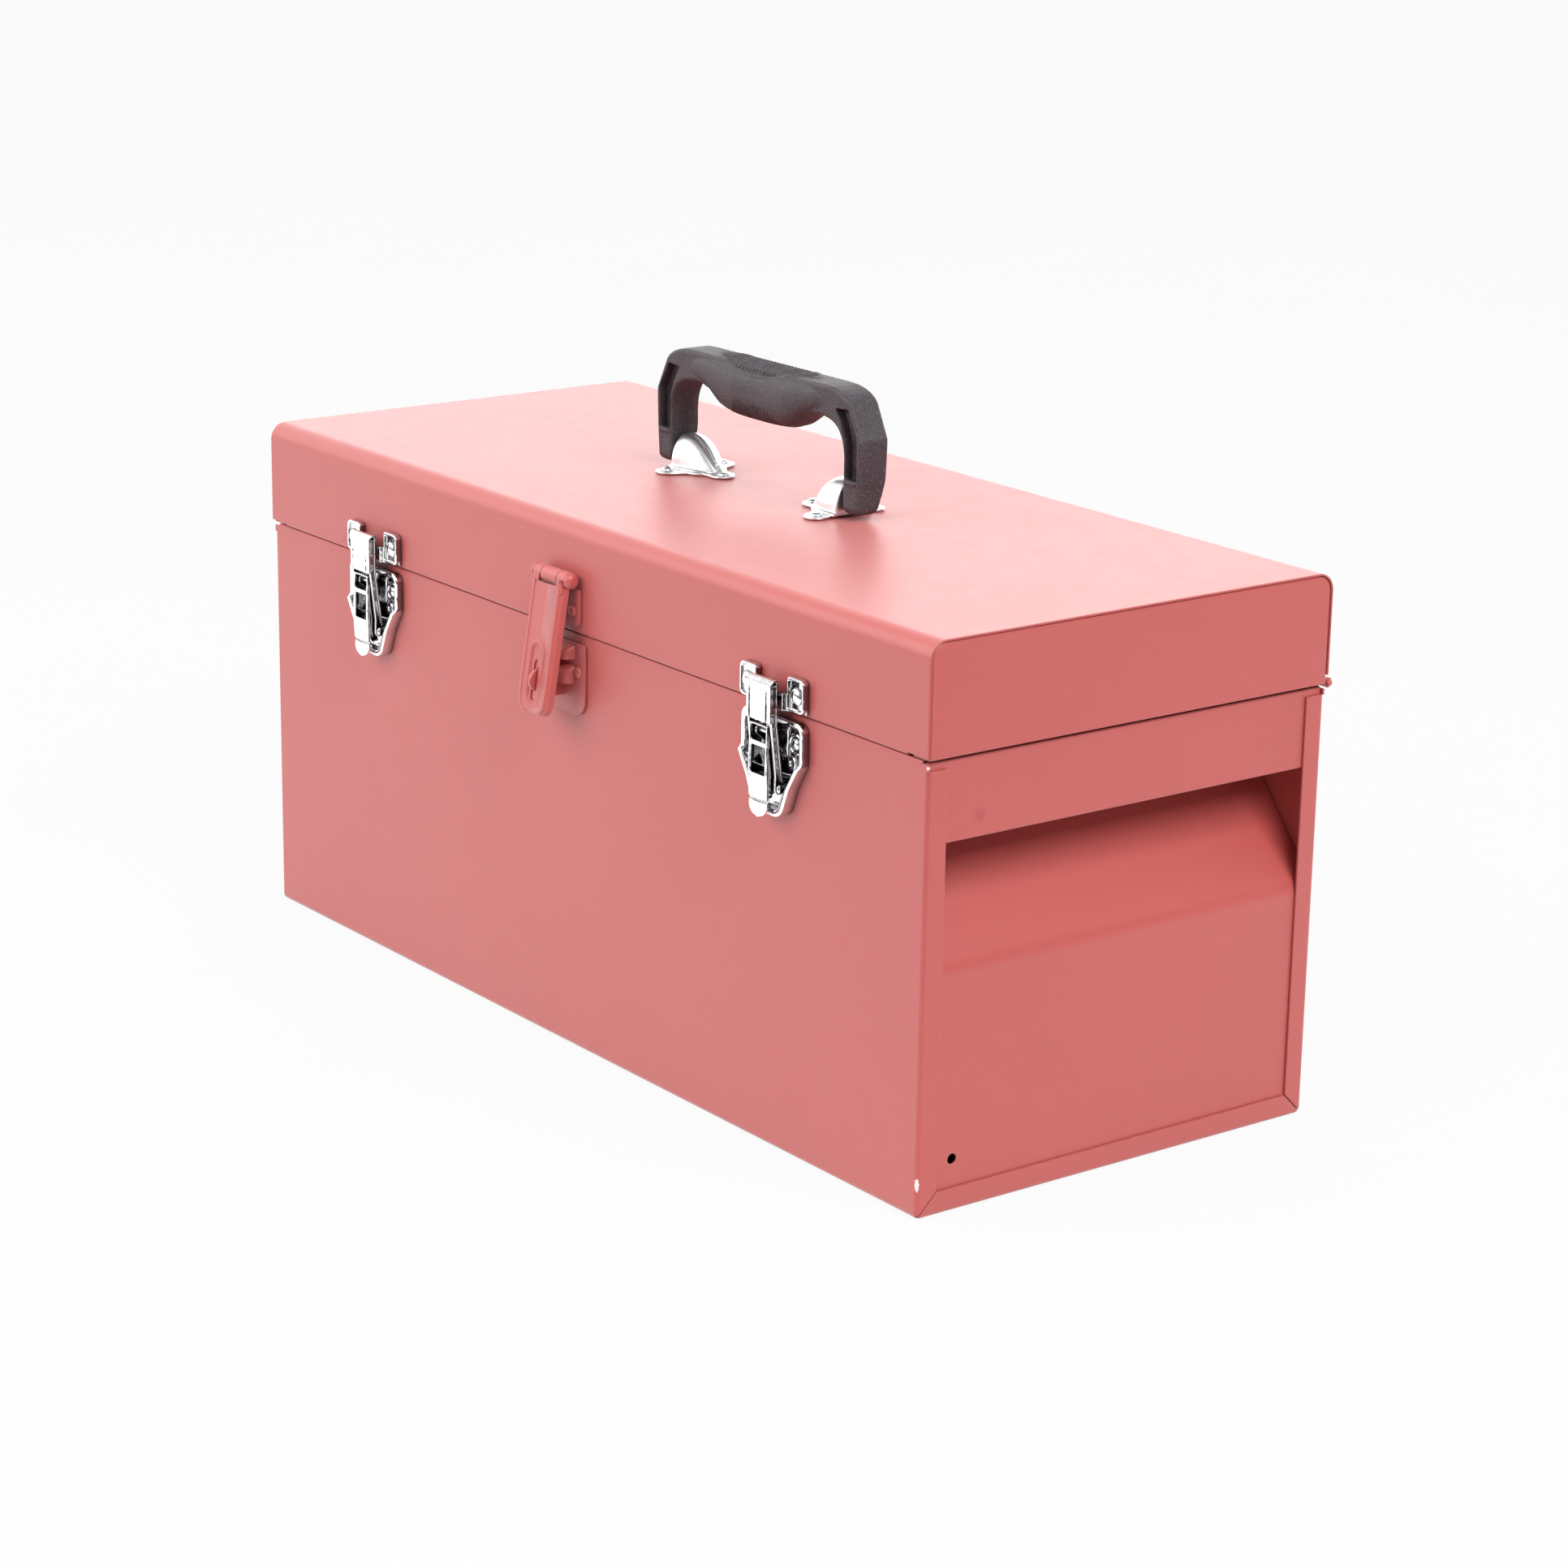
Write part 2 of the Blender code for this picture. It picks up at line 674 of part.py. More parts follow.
def latch_base(x, word):
    """A dished plate with a raised rim, and two ears for the lever pivot."""
    view = front_view(x)

    def ring(inset, out=None):
        """Without out, the ring lies on the rim, which is lower towards the top."""
        return [view(u, v, out or (2.6 if v > 172 else 3.6)) for u, v in plate_loop(inset)]

    plate = Shape().loft([ring(0.0, FOLD), ring(0.0), ring(0.9), ring(1.7, PLATE_FLOOR)])
    base = make("latch_base_" + word, plate, "chrome")
    ear = [(0.8, 174.5), (0.8, 179.4), (3.4, 182.3)] + arc(*LEVER_PIVOT, 2.5, 165, -60, 45)
    for side in (-1, 1):
        add(base, Shape().prism(ear, side_view(x), side * 3.4, side * 4.4))
    cut(base, latch_bore(Shape(), x, LEVER_PIVOT, 5.2))
    front_rivets(
        base, "latch_base_" + word, x, offset=14.0, z=180.2, out=PLATE_FLOOR, hole_out=3.0,
        finish="chrome", body="box",
    )
    latch_pin("latch_pivot_" + word, x, LEVER_PIVOT, 6.6, "box")


def latch_keeper(x, word):
    """On the lid: two ears and a raised bridge with a lip."""
    flat = LID_OUT + SHEET / 2
    section = [
        (-21.5, flat), (-12.2, flat), (-9.2, 5.2), (9.2, 5.2), (12.2, flat), (21.5, flat),
    ]
    bridge = Shape().prism(ribbon(section, SHEET), top_view(x), KEEPER_LOW, KEEPER_TOP)
    keeper = make("latch_keeper_" + word, bridge, "chrome", "lid")
    for side in (-1, 1):
        ear = rounded([
            (side * 12.6, 200.0), (side * 12.6, 207.4, 1.2),
            (side * 21.5, 207.4, 1.6), (side * 21.5, 200.0),
        ], 45)
        add(keeper, Shape().prism(ear, front_view(x), LID_OUT, LID_OUT + SHEET))
    lip = [(4.9, 199.6), (6.15, 200.4), (6.15, KEEPER_TOP), (4.9, KEEPER_TOP)]
    add(keeper, Shape().prism(lip, side_view(x), -8.6, 8.6))
    front_rivets(
        keeper, "latch_keeper_" + word, x, offset=17.0, z=200.4, out=LID_OUT + SHEET,
        hole_out=4.0, finish="chrome", body="lid",
    )


def latch_lever(x, word):
    """A channel with two windows and a finger tongue. Outlines are (out, up)."""
    body = "lever_" + word
    web = rounded([
        (9.8, 187.0), (9.7, 170.0, 20.0), (8.3, 153.0, 2.0), (8.0, 150.5, 4.0), (9.0, 143.4),
    ])
    shape = Shape().prism(ribbon(web, LATCH_STEEL), side_view(x), -6.2, 6.2)
    lever = make("latch_lever_" + word, shape, "chrome", body)
    cheek = rounded([
        (9.9, 187.0), (6.0, 187.0, 1.5), (4.4, 182.0, 3.0), (4.4, 170.0, 6.0),
        (2.9, 162.0, 2.5), (2.9, 158.0, 2.0), (8.3, 155.0),
    ], 45)
    for side in (-1, 1):
        add(lever, Shape().prism(cheek, side_view(x), side * 5.3, side * 6.15))
    windows = Shape()
    for low, top in ((181.3, 186.0), (169.6, 177.4)):
        windows.prism(rounded_box(-4.6, low, 4.6, top, 0.6, 45), front_view(x), 8.6, 11.2)
    cut(lever, windows)
    bores = latch_bore(Shape(), x, LEVER_PIVOT, 7.0)
    cut(lever, latch_bore(bores, x, HOOK_PIVOT, 7.0))
    # waste (across, up) that leaves the tongue's tip round
    waste = [(6.6, 143.0), (6.6, 149.0)] + [
        (2.2 + 4.0 * math.cos(a), 147.2 - 4.2 * math.sin(a)) for a in (0.0, 0.4, 0.8, 1.2, 1.57)
    ]
    corners = Shape()
    for side in (-1, 1):
        corners.prism(mirrored(waste, side), front_view(x), 6.5, 11.5)
    cut(lever, corners)
    latch_pin("latch_hook_pin_" + word, x, HOOK_PIVOT, 8.9, body)


def latch_hook(x, word):
    """A curled cover between two side bars. Outlines are (out, up)."""
    view = side_view(x)
    web = rounded([(10.3, 188.6), (10.3, 206.2, 2.0), (7.2, 206.2, 1.0), (7.2, 203.4)])
    shape = Shape().prism(ribbon(web, LATCH_STEEL), view, -HOOK_HALF, HOOK_HALF)
    hook = make("latch_hook_" + word, shape, "chrome", "hook_" + word)
    bar = (
        [(10.1, 204.6), (7.0, 204.6), (6.9, 188.0), (3.9, 166.0)]
        + arc(*HOOK_PIVOT, 2.5, 170, 370, 30)
        + [(7.5, 166.0), (10.1, 188.7)]
    )
    for side in (-1, 1):
        add(hook, Shape().prism(bar, view, side * 7.0, side * HOOK_HALF))
    cut(hook, latch_bore(Shape(), x, HOOK_PIVOT, 9.5))


for side, word in SIDES:
    for build in (latch_base, latch_keeper, latch_lever, latch_hook):
        build(side * LATCH_X, word)

# ---- hasp -------------------------------------------------------------------------
HASP_TILT = math.radians(9.0)
HASP_LONG = 61.3       # from the pivot to the strap's lower end
BARREL_OUT, BARREL_IN = 3.6, 2.1   # radii of the curled barrels
BARREL_MID = (BARREL_OUT + BARREL_IN) / 2
HASP_SHEET = BARREL_OUT - BARREL_IN
STAPLE_PLATE = 1.5     # out to the staple plate's face


def barrel(start, end):
    return ribbon(arc(HASP_OUT, HASP_UP, BARREL_MID, start, end, 30), HASP_SHEET)


def hasp_leaf():
    """The fixed leaf on the lid, with the middle barrel."""
    face = LID_OUT + HASP_SHEET
    outline = rounded([
        (-15.0, 196.0, 4.0), (15.0, 196.0, 4.0), (15.0, 212.6), (6.0, 212.6),
        (6.0, 217.4), (-6.0, 217.4), (-6.0, 212.6), (-15.0, 212.6),
    ], 30)
    shape = Shape().prism(outline, front_view(0.0), LID_OUT, face)
    leaf = make("hasp_leaf", shape, "red_paint", "lid")
    add(leaf, Shape().prism(barrel(190, -150), side_view(0.0), -5.98, 5.98))
    front_rivets(
        leaf, "hasp_leaf", 0.0, offset=9.5, z=203.0, out=face, hole_out=4.0,
        finish="red_paint", body="lid",
    )


def hasp_pin():
    # (radius, x) of the right half: shank, then a domed head
    half = [(2.0, 14.35), (3.4, 14.35), (3.1, 15.3), (2.0, 16.1), (0.0, 16.4)]
    profile = [(r, -x) for r, x in reversed(half)] + half
    place = centred(side_view(0.0), HASP_OUT, HASP_UP)
    make("hasp_pin", spin(profile, place, 16), "red_paint", "lid")


def tilted(across, out, up):
    """Hangs a point of the strap, drawn straight down from the hasp's axis, at its tilt."""
    do, dz = out - HASP_OUT, up - HASP_UP
    c, s = math.cos(HASP_TILT), math.sin(HASP_TILT)
    return (across, -BOX_Y - (HASP_OUT + do * c - dz * s), HASP_UP + do * s + dz * c)


def strap_ring(half, deep, up, sink):
    """Section of the strap: a shallow channel whose edges turn back by deep."""
    face = HASP_OUT + BARREL_MID - sink
    path = [(-half, face - deep), (-half + 2.2, face), (half - 2.2, face), (half, face - deep)]
    return [tilted(across, out, up) for across, out in ribbon(path, HASP_SHEET)]


def hasp_strap():
    low = HASP_UP - HASP_LONG
    # (half width, depth of the edges, up, sink of the face)
    sections = [
        (11.8, 3.0, 212.6, 0.0), (11.8, 3.0, low + 7.5, 0.0), (11.2, 2.9, low + 4.2, 0.0),
        (9.8, 2.7, low + 1.7, 0.0), (7.8, 2.3, low + 0.4, 0.8), (6.6, 1.8, low, 1.9),
    ]
    shape = Shape().loft([strap_ring(*section) for section in sections])
    strap = make("hasp_strap", shape, "red_paint", "hasp_strap")

    def from_side(u, v, w):
        return tilted(w, u, v)

    back, face = HASP_OUT + BARREL_IN + 0.2, HASP_OUT + BARREL_OUT - 0.02
    join = [(back, 211.0), (face, 211.0), (face, 217.2), (back, 217.2)]
    for side in (-1, 1):
        add(strap, Shape().prism(barrel(-10, 330), from_side, side * 6.3, side * 14.0))
        add(strap, Shape().prism(join, from_side, side * 6.3, side * 10.7))
    # slot over the staple
    slot = rounded_box(-1.8, 161.2, 1.8, 179.6, 1.7, 45)
    cut(strap, Shape().prism(
        slot, lambda u, v, w: tilted(u, w, v), HASP_OUT - 1.0, HASP_OUT + 6.0))


def hasp_staple():
    """A plate on the body with two shelves and an upright loop with a round hole."""
    outline = rounded([
        (-17.0, 188.0, 1.5), (-17.0, 155.5, 8.0), (17.0, 155.5, 8.0), (17.0, 188.0, 1.5),
    ], 30)
    shape = Shape().prism(outline, front_view(0.0), FOLD, STAPLE_PLATE)
    staple = make("hasp_staple_plate", shape, "red_paint")
    shelf = [(-9.0, 0.8), (9.0, 0.8), (6.5, 6.8), (-6.5, 6.8)]
    for z in (181.0, 170.0):
        add(staple, Shape().prism(shelf, top_view(0.0), z, z + 1.4))
    angles = [math.radians(-80 + 16 * k) for k in range(11)]
    loop = (
        [(0.8, 163.0)]
        + [(0.9 + 12.5 * math.cos(a), 171.2 + 8.3 * math.sin(a)) for a in angles]
        + [(0.8, 179.4)]
    )
    add(staple, Shape().prism(loop, side_view(0.0), -0.9, 0.9))
    cut(staple, Shape().prism(disc(8.0, 174.4, 2.4, 12), side_view(0.0), -2.0, 2.0))
    front_rivets(
        staple, "hasp_staple", 0.0, offset=12.6, z=175.6, out=STAPLE_PLATE, hole_out=2.5,
        finish="red_paint", body="box",
    )


hasp_leaf()
hasp_pin()
hasp_strap()
hasp_staple()

# ---- handle brackets and pins -----------------------------------------------------
GRIP_PIN = 3.0
BRACKET_STEEL = 1.2
BRACKET_LOW = LID_TOP + FOLD
BRACKET_X = 49.0       # centre that the plate's outline is measured from
BRACKET_POINTS = 40
# Circles whose union is the plate: (x, y from the handle's plane, radius)
LOBES = [(56.0, 15.2, 6.4), (56.0, -15.2, 6.4), (35.5, 0.0, 6.4), (50.0, 0.0, 11.0)]
BRACKET_RIVETS = [(56.6, 15.6), (56.6, -15.6), (33.6, 0.0)]
# Hood over the pin: (x, half width, height)
HOOD = [
    (62.2, 9.6, 15.0), (58.0, 10.2, 15.6), (52.0, 9.6, 14.8),
    (46.0, 7.6, 11.0), (41.0, 5.0, 6.0), (37.6, 2.6, 1.6),
]
HOOD_MOUTH = (61.0, 9.6, 15.0)   # first station of the hollow under the hood
HOOD_FOOT = 1.5        # from the lid's top to the level that hood heights start at
# Right half of the hood's arch, from its foot: fractions of (half width, height)
ARCH = [(1.0, 0.0), (0.95, 0.42), (0.72, 0.80), (0.30, 0.98)]


def trefoil(side):
    """Three lobes round a middle: two beside the leg and one towards the handle's centre."""
    n = BRACKET_POINTS
    angles = [2 * math.pi * k / n for k in range(n)]
    radii = []
    for angle in angles:
        reach = 0.0
        for x, y, r in LOBES:
            dx = x - BRACKET_X
            along = dx * math.cos(angle) + y * math.sin(angle)
            square = along * along - (dx * dx + y * y - r * r)
            if square > 0:
                reach = max(reach, along + math.sqrt(square))
        radii.append(reach)
    # soften the valleys between the lobes
    radii = [(radii[k - 1] + 2 * radii[k] + radii[(k + 1) % n]) / 4 for k in range(n)]
    return [
        (side * (BRACKET_X + r * math.cos(a)), GRIP_Y + r * math.sin(a))
        for r, a in zip(radii, angles)
    ]


def hood(side, stations, thin, low):
    """Arches across Y, standing on low; thin is taken off their sides and top."""
    rings = []
    for x, wide, high in stations:
        wide, high = wide - thin, high - thin
        arch = [(wide * u, v) for u, v in ARCH]
        arch += mirrored(arch[::-1], -1)
        rings.append([
            (side * x, GRIP_Y + y, low if v == 0.0 else LID_TOP + HOOD_FOOT + high * v)
            for y, v in arch
        ])
    return Shape().loft(rings)


def handle_bracket(side, word):
    name = "handle_bracket_" + word
    top = BRACKET_LOW + BRACKET_STEEL
    plate = Shape().prism(trefoil(side), along_z, BRACKET_LOW, top)
    bracket = make(name, plate, "chrome", "lid")
    add(bracket, hood(side, HOOD, 0.0, BRACKET_LOW + 0.6))
    cut(bracket, hood(side, [HOOD_MOUTH] + HOOD[1:5], BRACKET_STEEL, BRACKET_LOW - 1.0))
    bore = disc(GRIP_Y, GRIP_Z, GRIP_PIN + PIN_PLAY, 20)
    cut(bracket, Shape().prism(bore, along_x, side * 59.0, side * 64.0))
    holes = Shape()
    for n, (x, y) in enumerate(BRACKET_RIVETS, 1):
        spot = (side * x, GRIP_Y + y)
        holes.prism(rivet_hole(*spot), along_z, BRACKET_LOW - 1.0, BRACKET_LOW + 2.0)
        SKIN_HOLES["lid"].prism(rivet_hole(*spot), along_z, LID_TOP - 3.0, LID_TOP + 2.0)
        shape = rivet(centred(along_z, *spot, top), BRACKET_STEEL + FOLD + SHEET)
        make("%s_rivet_%d" % (name, n), shape, "chrome", "lid")
    cut(bracket, holes)


def handle_pin(side, word):
    # (radius, x): a head inside the bracket, then the shank into the handle's leg
    profile = [
        (3.4, 53.4), (3.8, 53.8), (3.8, 55.0), (GRIP_PIN, 55.0), (GRIP_PIN, 70.6),
        (GRIP_PIN - 0.5, 71.0),
    ]
    shape = spin(profile, lambda u, v, w: (side * w, GRIP_Y + u, GRIP_Z + v), 20)
    make("handle_pin_" + word, shape, "steel", "handle")


for side, word in SIDES:
    handle_bracket(side, word)
    handle_pin(side, word)

cut(body_shell, SKIN_HOLES["box"])
cut(lid_skin, SKIN_HOLES["lid"])

# ---- carrying handle --------------------------------------------------------------
GRIP_HALF = 8.0        # half thickness of the moulding
# Right half of the moulding seen from the front (x, z): outer edge, from the leg's inner
# foot up to the top
GRIP_OUTER = [
    (64.3, 243.6), (70.5, 243.6), (74.3, 247.6), (75.6, 259.0), (76.5, 274.0), (76.4, 279.6),
    (72.2, 286.0), (65.0, 292.2), (57.4, 296.6), (50.0, 298.5),
]
# The arch over the fingers, from the middle to the leg (x, z)
GRIP_ARCH = [
    (20.0, 276.0), (38.0, 278.3), (46.0, 281.6), (53.0, 283.0), (59.0, 281.4), (62.8, 277.6),
    (64.2, 272.0), (64.4, 260.0),
]
# Right half of the swelling along the top bar: (x, half width, low, top)
GRIP_BELLY = [
    (12.0, 11.8, 273.5, 299.4), (28.0, 11.2, 275.2, 299.0),
    (42.0, 9.6, 280.2, 298.4), (52.0, 7.0, 284.5, 297.0),
]


def handle_grip():
    outline = (
        GRIP_OUTER + mirrored(GRIP_OUTER[::-1], -1) + mirrored(GRIP_ARCH[::-1], -1) + GRIP_ARCH
    )
    shape = Shape().prism(outline, along_y, GRIP_Y - GRIP_HALF, GRIP_Y + GRIP_HALF)
    grip = make("handle_grip", shape, "grip_plastic", "handle")
    bevel = grip.modifiers.new("leg_corners", "BEVEL")
    bevel.width = 1.6 * MM
    bevel.segments = 1
    bevel.limit_method = "ANGLE"
    bevel.angle_limit = math.radians(60)

    rings = []
    for x, wide, low, top in [(-s[0], *s[1:]) for s in reversed(GRIP_BELLY)] + GRIP_BELLY:
        middle, half = (low + top) / 2, (top - low) / 2
        rings.append([(x, GRIP_Y + wide * u, middle + half * v) for u, v in disc(0, 0, 1, 12)])
    add(grip, Shape().loft(rings))

    # waste (y from the handle's plane, z) that rounds the feet of the legs
    waste = (
        [(8.6, 242.0), (8.6, 248.4)]
        + [(4.2 + 4.0 * math.cos(a), 247.7 - 4.2 * math.sin(a)) for a in (0.0, 0.52, 1.05, 1.57)]
        + [(4.0, 242.0)]
    )
    corners = Shape()
    for side in (-1, 1):
        for low, high in ((-80.0, -60.0), (60.0, 80.0)):
            corners.prism([(GRIP_Y + side * y, z) for y, z in waste], along_x, low, high)
    cut(grip, corners)

    bores = Shape()
    for side in (-1, 1):
        bore = disc(GRIP_Y, GRIP_Z, GRIP_PIN + PIN_PLAY, 20)
        bores.prism(bore, along_x, side * 60.0, side * 71.4)
    cut(grip, bores)


handle_grip()

# ---- lift-out tray ----------------------------------------------------------------
TRAY_X = 247.0
TRAY_Y = 100.0
TRAY_TOP = 188.0
TRAY_SHEET = 1.0
TRAY_CORNER = 8.0
TRAY_RIM = 3.0         # height of the thicker rim
TRAY_RIVETS = (-190.0, 190.0)
TRAY_RIVET_Y = 8.0
# Pan section, outside then inside: (inset from the rim, z)
TRAY_SECTION = [
    (2.2, TRAY_LOW), (1.2, TRAY_LOW + 1.0), (1.2, TRAY_TOP - TRAY_RIM),
    (0.0, TRAY_TOP - TRAY_RIM), (0.0, TRAY_TOP), (2.2, TRAY_TOP),
    (2.2, TRAY_LOW + 1.6), (2.8, TRAY_LOW + TRAY_SHEET),
]


def tray_loop(inset, z):
    x, y = TRAY_X - inset, TRAY_Y - inset
    return [(u, v, z) for u, v in rounded_box(-x, -y, x, y, TRAY_CORNER - inset, 30)]


def tray_divider(floor):
    """Lengthwise plate that rises to a slotted hand grip, with a foot flange behind it."""
    left = [(-62.0, 204.5, 10.0), (-78.0, 186.0, 8.0), (-243.5, 186.0, 3.0), (-243.5, floor)]
    right = [(-p[0], *p[1:]) for p in reversed(left)]
    outline = rounded([left[-1]] + right + left[:-1], 30)
    shape = Shape().prism(outline, along_y, -0.6, 0.6)
    divider = make("tray_divider", shape, "red_paint", "tray")
    top = floor + TRAY_SHEET
    foot = [(-0.4, floor), (14.0, floor), (14.0, top), (-0.4, top)]
    add(divider, Shape().prism(foot, along_x, -220.0, 220.0))
    slot = rounded_box(-46.0, 187.5, 46.0, 198.5, 5.2, 30)
    cut(divider, Shape().prism(slot, along_y, -3.0, 3.0))
    return divider


def tray():
    floor = TRAY_LOW + TRAY_SHEET + FOLD
    shape = Shape().loft([tray_loop(inset, z) for inset, z in TRAY_SECTION])
    pan = make("tray_pan", shape, "red_paint", "tray")
    divider = tray_divider(floor)
    holes = Shape()
    for n, x in enumerate(TRAY_RIVETS, 1):
        holes.prism(rivet_hole(x, TRAY_RIVET_Y), along_z, TRAY_LOW - 1.0, floor + 3.0)
        place = centred(along_z, x, TRAY_RIVET_Y, floor + TRAY_SHEET)
        shape = rivet(place, TRAY_SHEET + FOLD + TRAY_SHEET)
        make("tray_rivet_%d" % n, shape, "steel", "tray")
    cut(divider, holes)
    cut(pan, holes)


tray()
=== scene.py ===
import math

import bmesh
import bpy
import numpy as np
from mathutils import Matrix, Vector, noise


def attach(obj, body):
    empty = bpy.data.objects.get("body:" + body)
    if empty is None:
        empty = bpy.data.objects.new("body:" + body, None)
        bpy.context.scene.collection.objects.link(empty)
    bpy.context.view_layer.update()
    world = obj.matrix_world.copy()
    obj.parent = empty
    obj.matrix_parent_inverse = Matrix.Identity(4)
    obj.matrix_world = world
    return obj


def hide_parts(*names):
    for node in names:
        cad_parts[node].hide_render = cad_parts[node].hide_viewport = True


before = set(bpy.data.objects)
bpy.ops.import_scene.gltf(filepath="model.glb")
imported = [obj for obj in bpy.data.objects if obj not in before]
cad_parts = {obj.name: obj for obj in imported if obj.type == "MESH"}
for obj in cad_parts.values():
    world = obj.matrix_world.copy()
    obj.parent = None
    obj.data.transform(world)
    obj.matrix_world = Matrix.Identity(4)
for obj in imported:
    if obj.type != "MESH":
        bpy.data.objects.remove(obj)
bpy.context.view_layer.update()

MM = 0.001

# ---- dimensions, in millimetres, as in the frame ---------------------------------
SHEET, FOLD = 0.9, 0.3
BOX_X, BOX_Y, RIM_FRONT, RIM_BACK = 253.0, 107.0, 192.2, 191.5
FLANGE, FLANGE_TOP, BOX_BEND, HEM = 10.0, 188.0, 3.0, 7.5
LID_X, LID_Y, LID_LOW, LID_LOW_BACK, LID_TOP, LID_BEND, LID_HEM, CAP_FLANGE = 254.0, 108.0, 192.8, 195.6, 241.0, 8.0, 9.5, 10.0
PANEL_X, POCKET_LOW, POCKET_X, POCKET_ROOF, BAND_LOW = 251.35, 105.0, 214.3, 163.4, 156.9
HINGE_Y, HINGE_Z, HINGE_PIN, LEAF, KNUCKLES = 109.6, 192.6, 1.5, 0.6, 17
LATCH_X, LATCH_P, LATCH_Q, LATCH_PIN = 156.0, (6.6, 183.5), (5.2, 160.5), 1.2
HASP_K, HASP_TILT, HASP_LONG = (5.8, 217.0), math.radians(9.0), 61.3
GRIP_Y, GRIP_Z, GRIP_OUT, GRIP_IN, GRIP_TOP, GRIP_PIN = 2.5, 250.5, 76.5, 64.3, 298.5, 3.0
TRAY_X, TRAY_Y, TRAY_LOW, TRAY_TOP, TRAY_SHEET = 247.0, 100.0, 164.3, 188.0, 1.0
TURN = 9.0
LEAN = math.tan(math.radians(38.9))
RO, RI = SHEET + FOLD / 2, FOLD / 2


# ---- outlines -----------------------------------------------------------------------
def arc_corner(a, p, b, r, turn):
    ux, uy = a[0] - p[0], a[1] - p[1]
    vx, vy = b[0] - p[0], b[1] - p[1]
    lu, lv = math.hypot(ux, uy), math.hypot(vx, vy)
    ux, uy, vx, vy = ux / lu, uy / lu, vx / lv, vy / lv
    angle = math.acos(max(-1.0, min(1.0, ux * vx + uy * vy)))
    if angle > math.pi - 1e-4:
        return [(p[0], p[1])]
    d = r / math.tan(angle / 2)
    h = r / math.sin(angle / 2)
    bx, by = ux + vx, uy + vy
    lb = math.hypot(bx, by)
    cx, cy = p[0] + bx / lb * h, p[1] + by / lb * h
    a0 = math.atan2(p[1] + uy * d - cy, p[0] + ux * d - cx)
    a1 = math.atan2(p[1] + vy * d - cy, p[0] + vx * d - cx)
    sweep = (a1 - a0 + math.pi) % (2 * math.pi) - math.pi
    steps = max(1, math.ceil(abs(math.degrees(sweep)) / turn - 1e-6)) if turn > 0 else int(-turn)
    return [(cx + r * math.cos(a0 + sweep * k / steps), cy + r * math.sin(a0 + sweep * k / steps)) for k in range(steps + 1)]


def rounded(points, turn=None):
    turn, out, n = turn or TURN, [], len(points)
    for i, p in enumerate(points):
        r = p[2] if len(p) > 2 else 0.0
        if r <= 0 or i in (0, n - 1):
            out.append((p[0], p[1]))
        else:
            out += arc_corner(points[i - 1], p, points[(i + 1) % n], r, turn)
    return out


def rounded_loop(points, turn=None):
    turn, out, n = turn or TURN, [], len(points)
    for i, p in enumerate(points):
        r = p[2] if len(p) > 2 else 0.0
        if r <= 0:
            out.append((p[0], p[1]))
        else:
            out += arc_corner(points[i - 1], p, points[(i + 1) % n], r, turn)
    return out


def ribbon(path, thick):
    left, right, n = [], [], len(path)
    for i, p in enumerate(path):
        a = path[i - 1] if i else None
        b = path[i + 1] if i < n - 1 else None
        dirs = []
        for q, r in ((a, p), (p, b)):
            if q and r:
                length = math.hypot(r[0] - q[0], r[1] - q[1])
                dirs.append(((r[0] - q[0]) / length, (r[1] - q[1]) / length))
        nx, ny = sum(-d[1] for d in dirs), sum(d[0] for d in dirs)
        ln = math.hypot(nx, ny)
        nx, ny = nx / ln, ny / ln
        k = thick / 2 / max(0.2, -dirs[0][1] * nx + dirs[0][0] * ny)
        left.append((p[0] + nx * k, p[1] + ny * k))
        right.append((p[0] - nx * k, p[1] - ny * k))
    return left + right[::-1]


def arc(cx, cy, r, a0, a1, turn=None):
    steps = max(1, math.ceil(abs(a1 - a0) / (turn or TURN) - 1e-6))
    return [(cx + r * math.cos(math.radians(a0 + (a1 - a0) * k / steps)), cy + r * math.sin(math.radians(a0 + (a1 - a0) * k / steps))) for k in range(steps + 1)]


def disc(cx, cy, r, sides=32):
    return [(cx + r * math.cos(2 * math.pi * (k + 0.5) / sides), cy + r * math.sin(2 * math.pi * (k + 0.5) / sides)) for k in range(sides)]


def area(loop):
    return sum(a[0] * b[1] - b[0] * a[1] for a, b in zip(loop, loop[1:] + loop[:1])) / 2


def inset(loop, d):
    """The outline moved inwards by d, whichever way it runs."""
    s = 1.0 if area(loop) > 0 else -1.0
    out, n = [], len(loop)
    for i, p in enumerate(loop):
        a, b = loop[i - 1], loop[(i + 1) % n]
        l1, l2 = math.hypot(p[0] - a[0], p[1] - a[1]), math.hypot(b[0] - p[0], b[1] - p[1])
        n1 = (-(p[1] - a[1]) / l1 * s, (p[0] - a[0]) / l1 * s)
        n2 = (-(b[1] - p[1]) / l2 * s, (b[0] - p[0]) / l2 * s)
        nx, ny = n1[0] + n2[0], n1[1] + n2[1]
        q = max(0.35, (nx * nx + ny * ny) / 2)
        out.append((p[0] + nx * d / q, p[1] + ny * d / q))
    return out


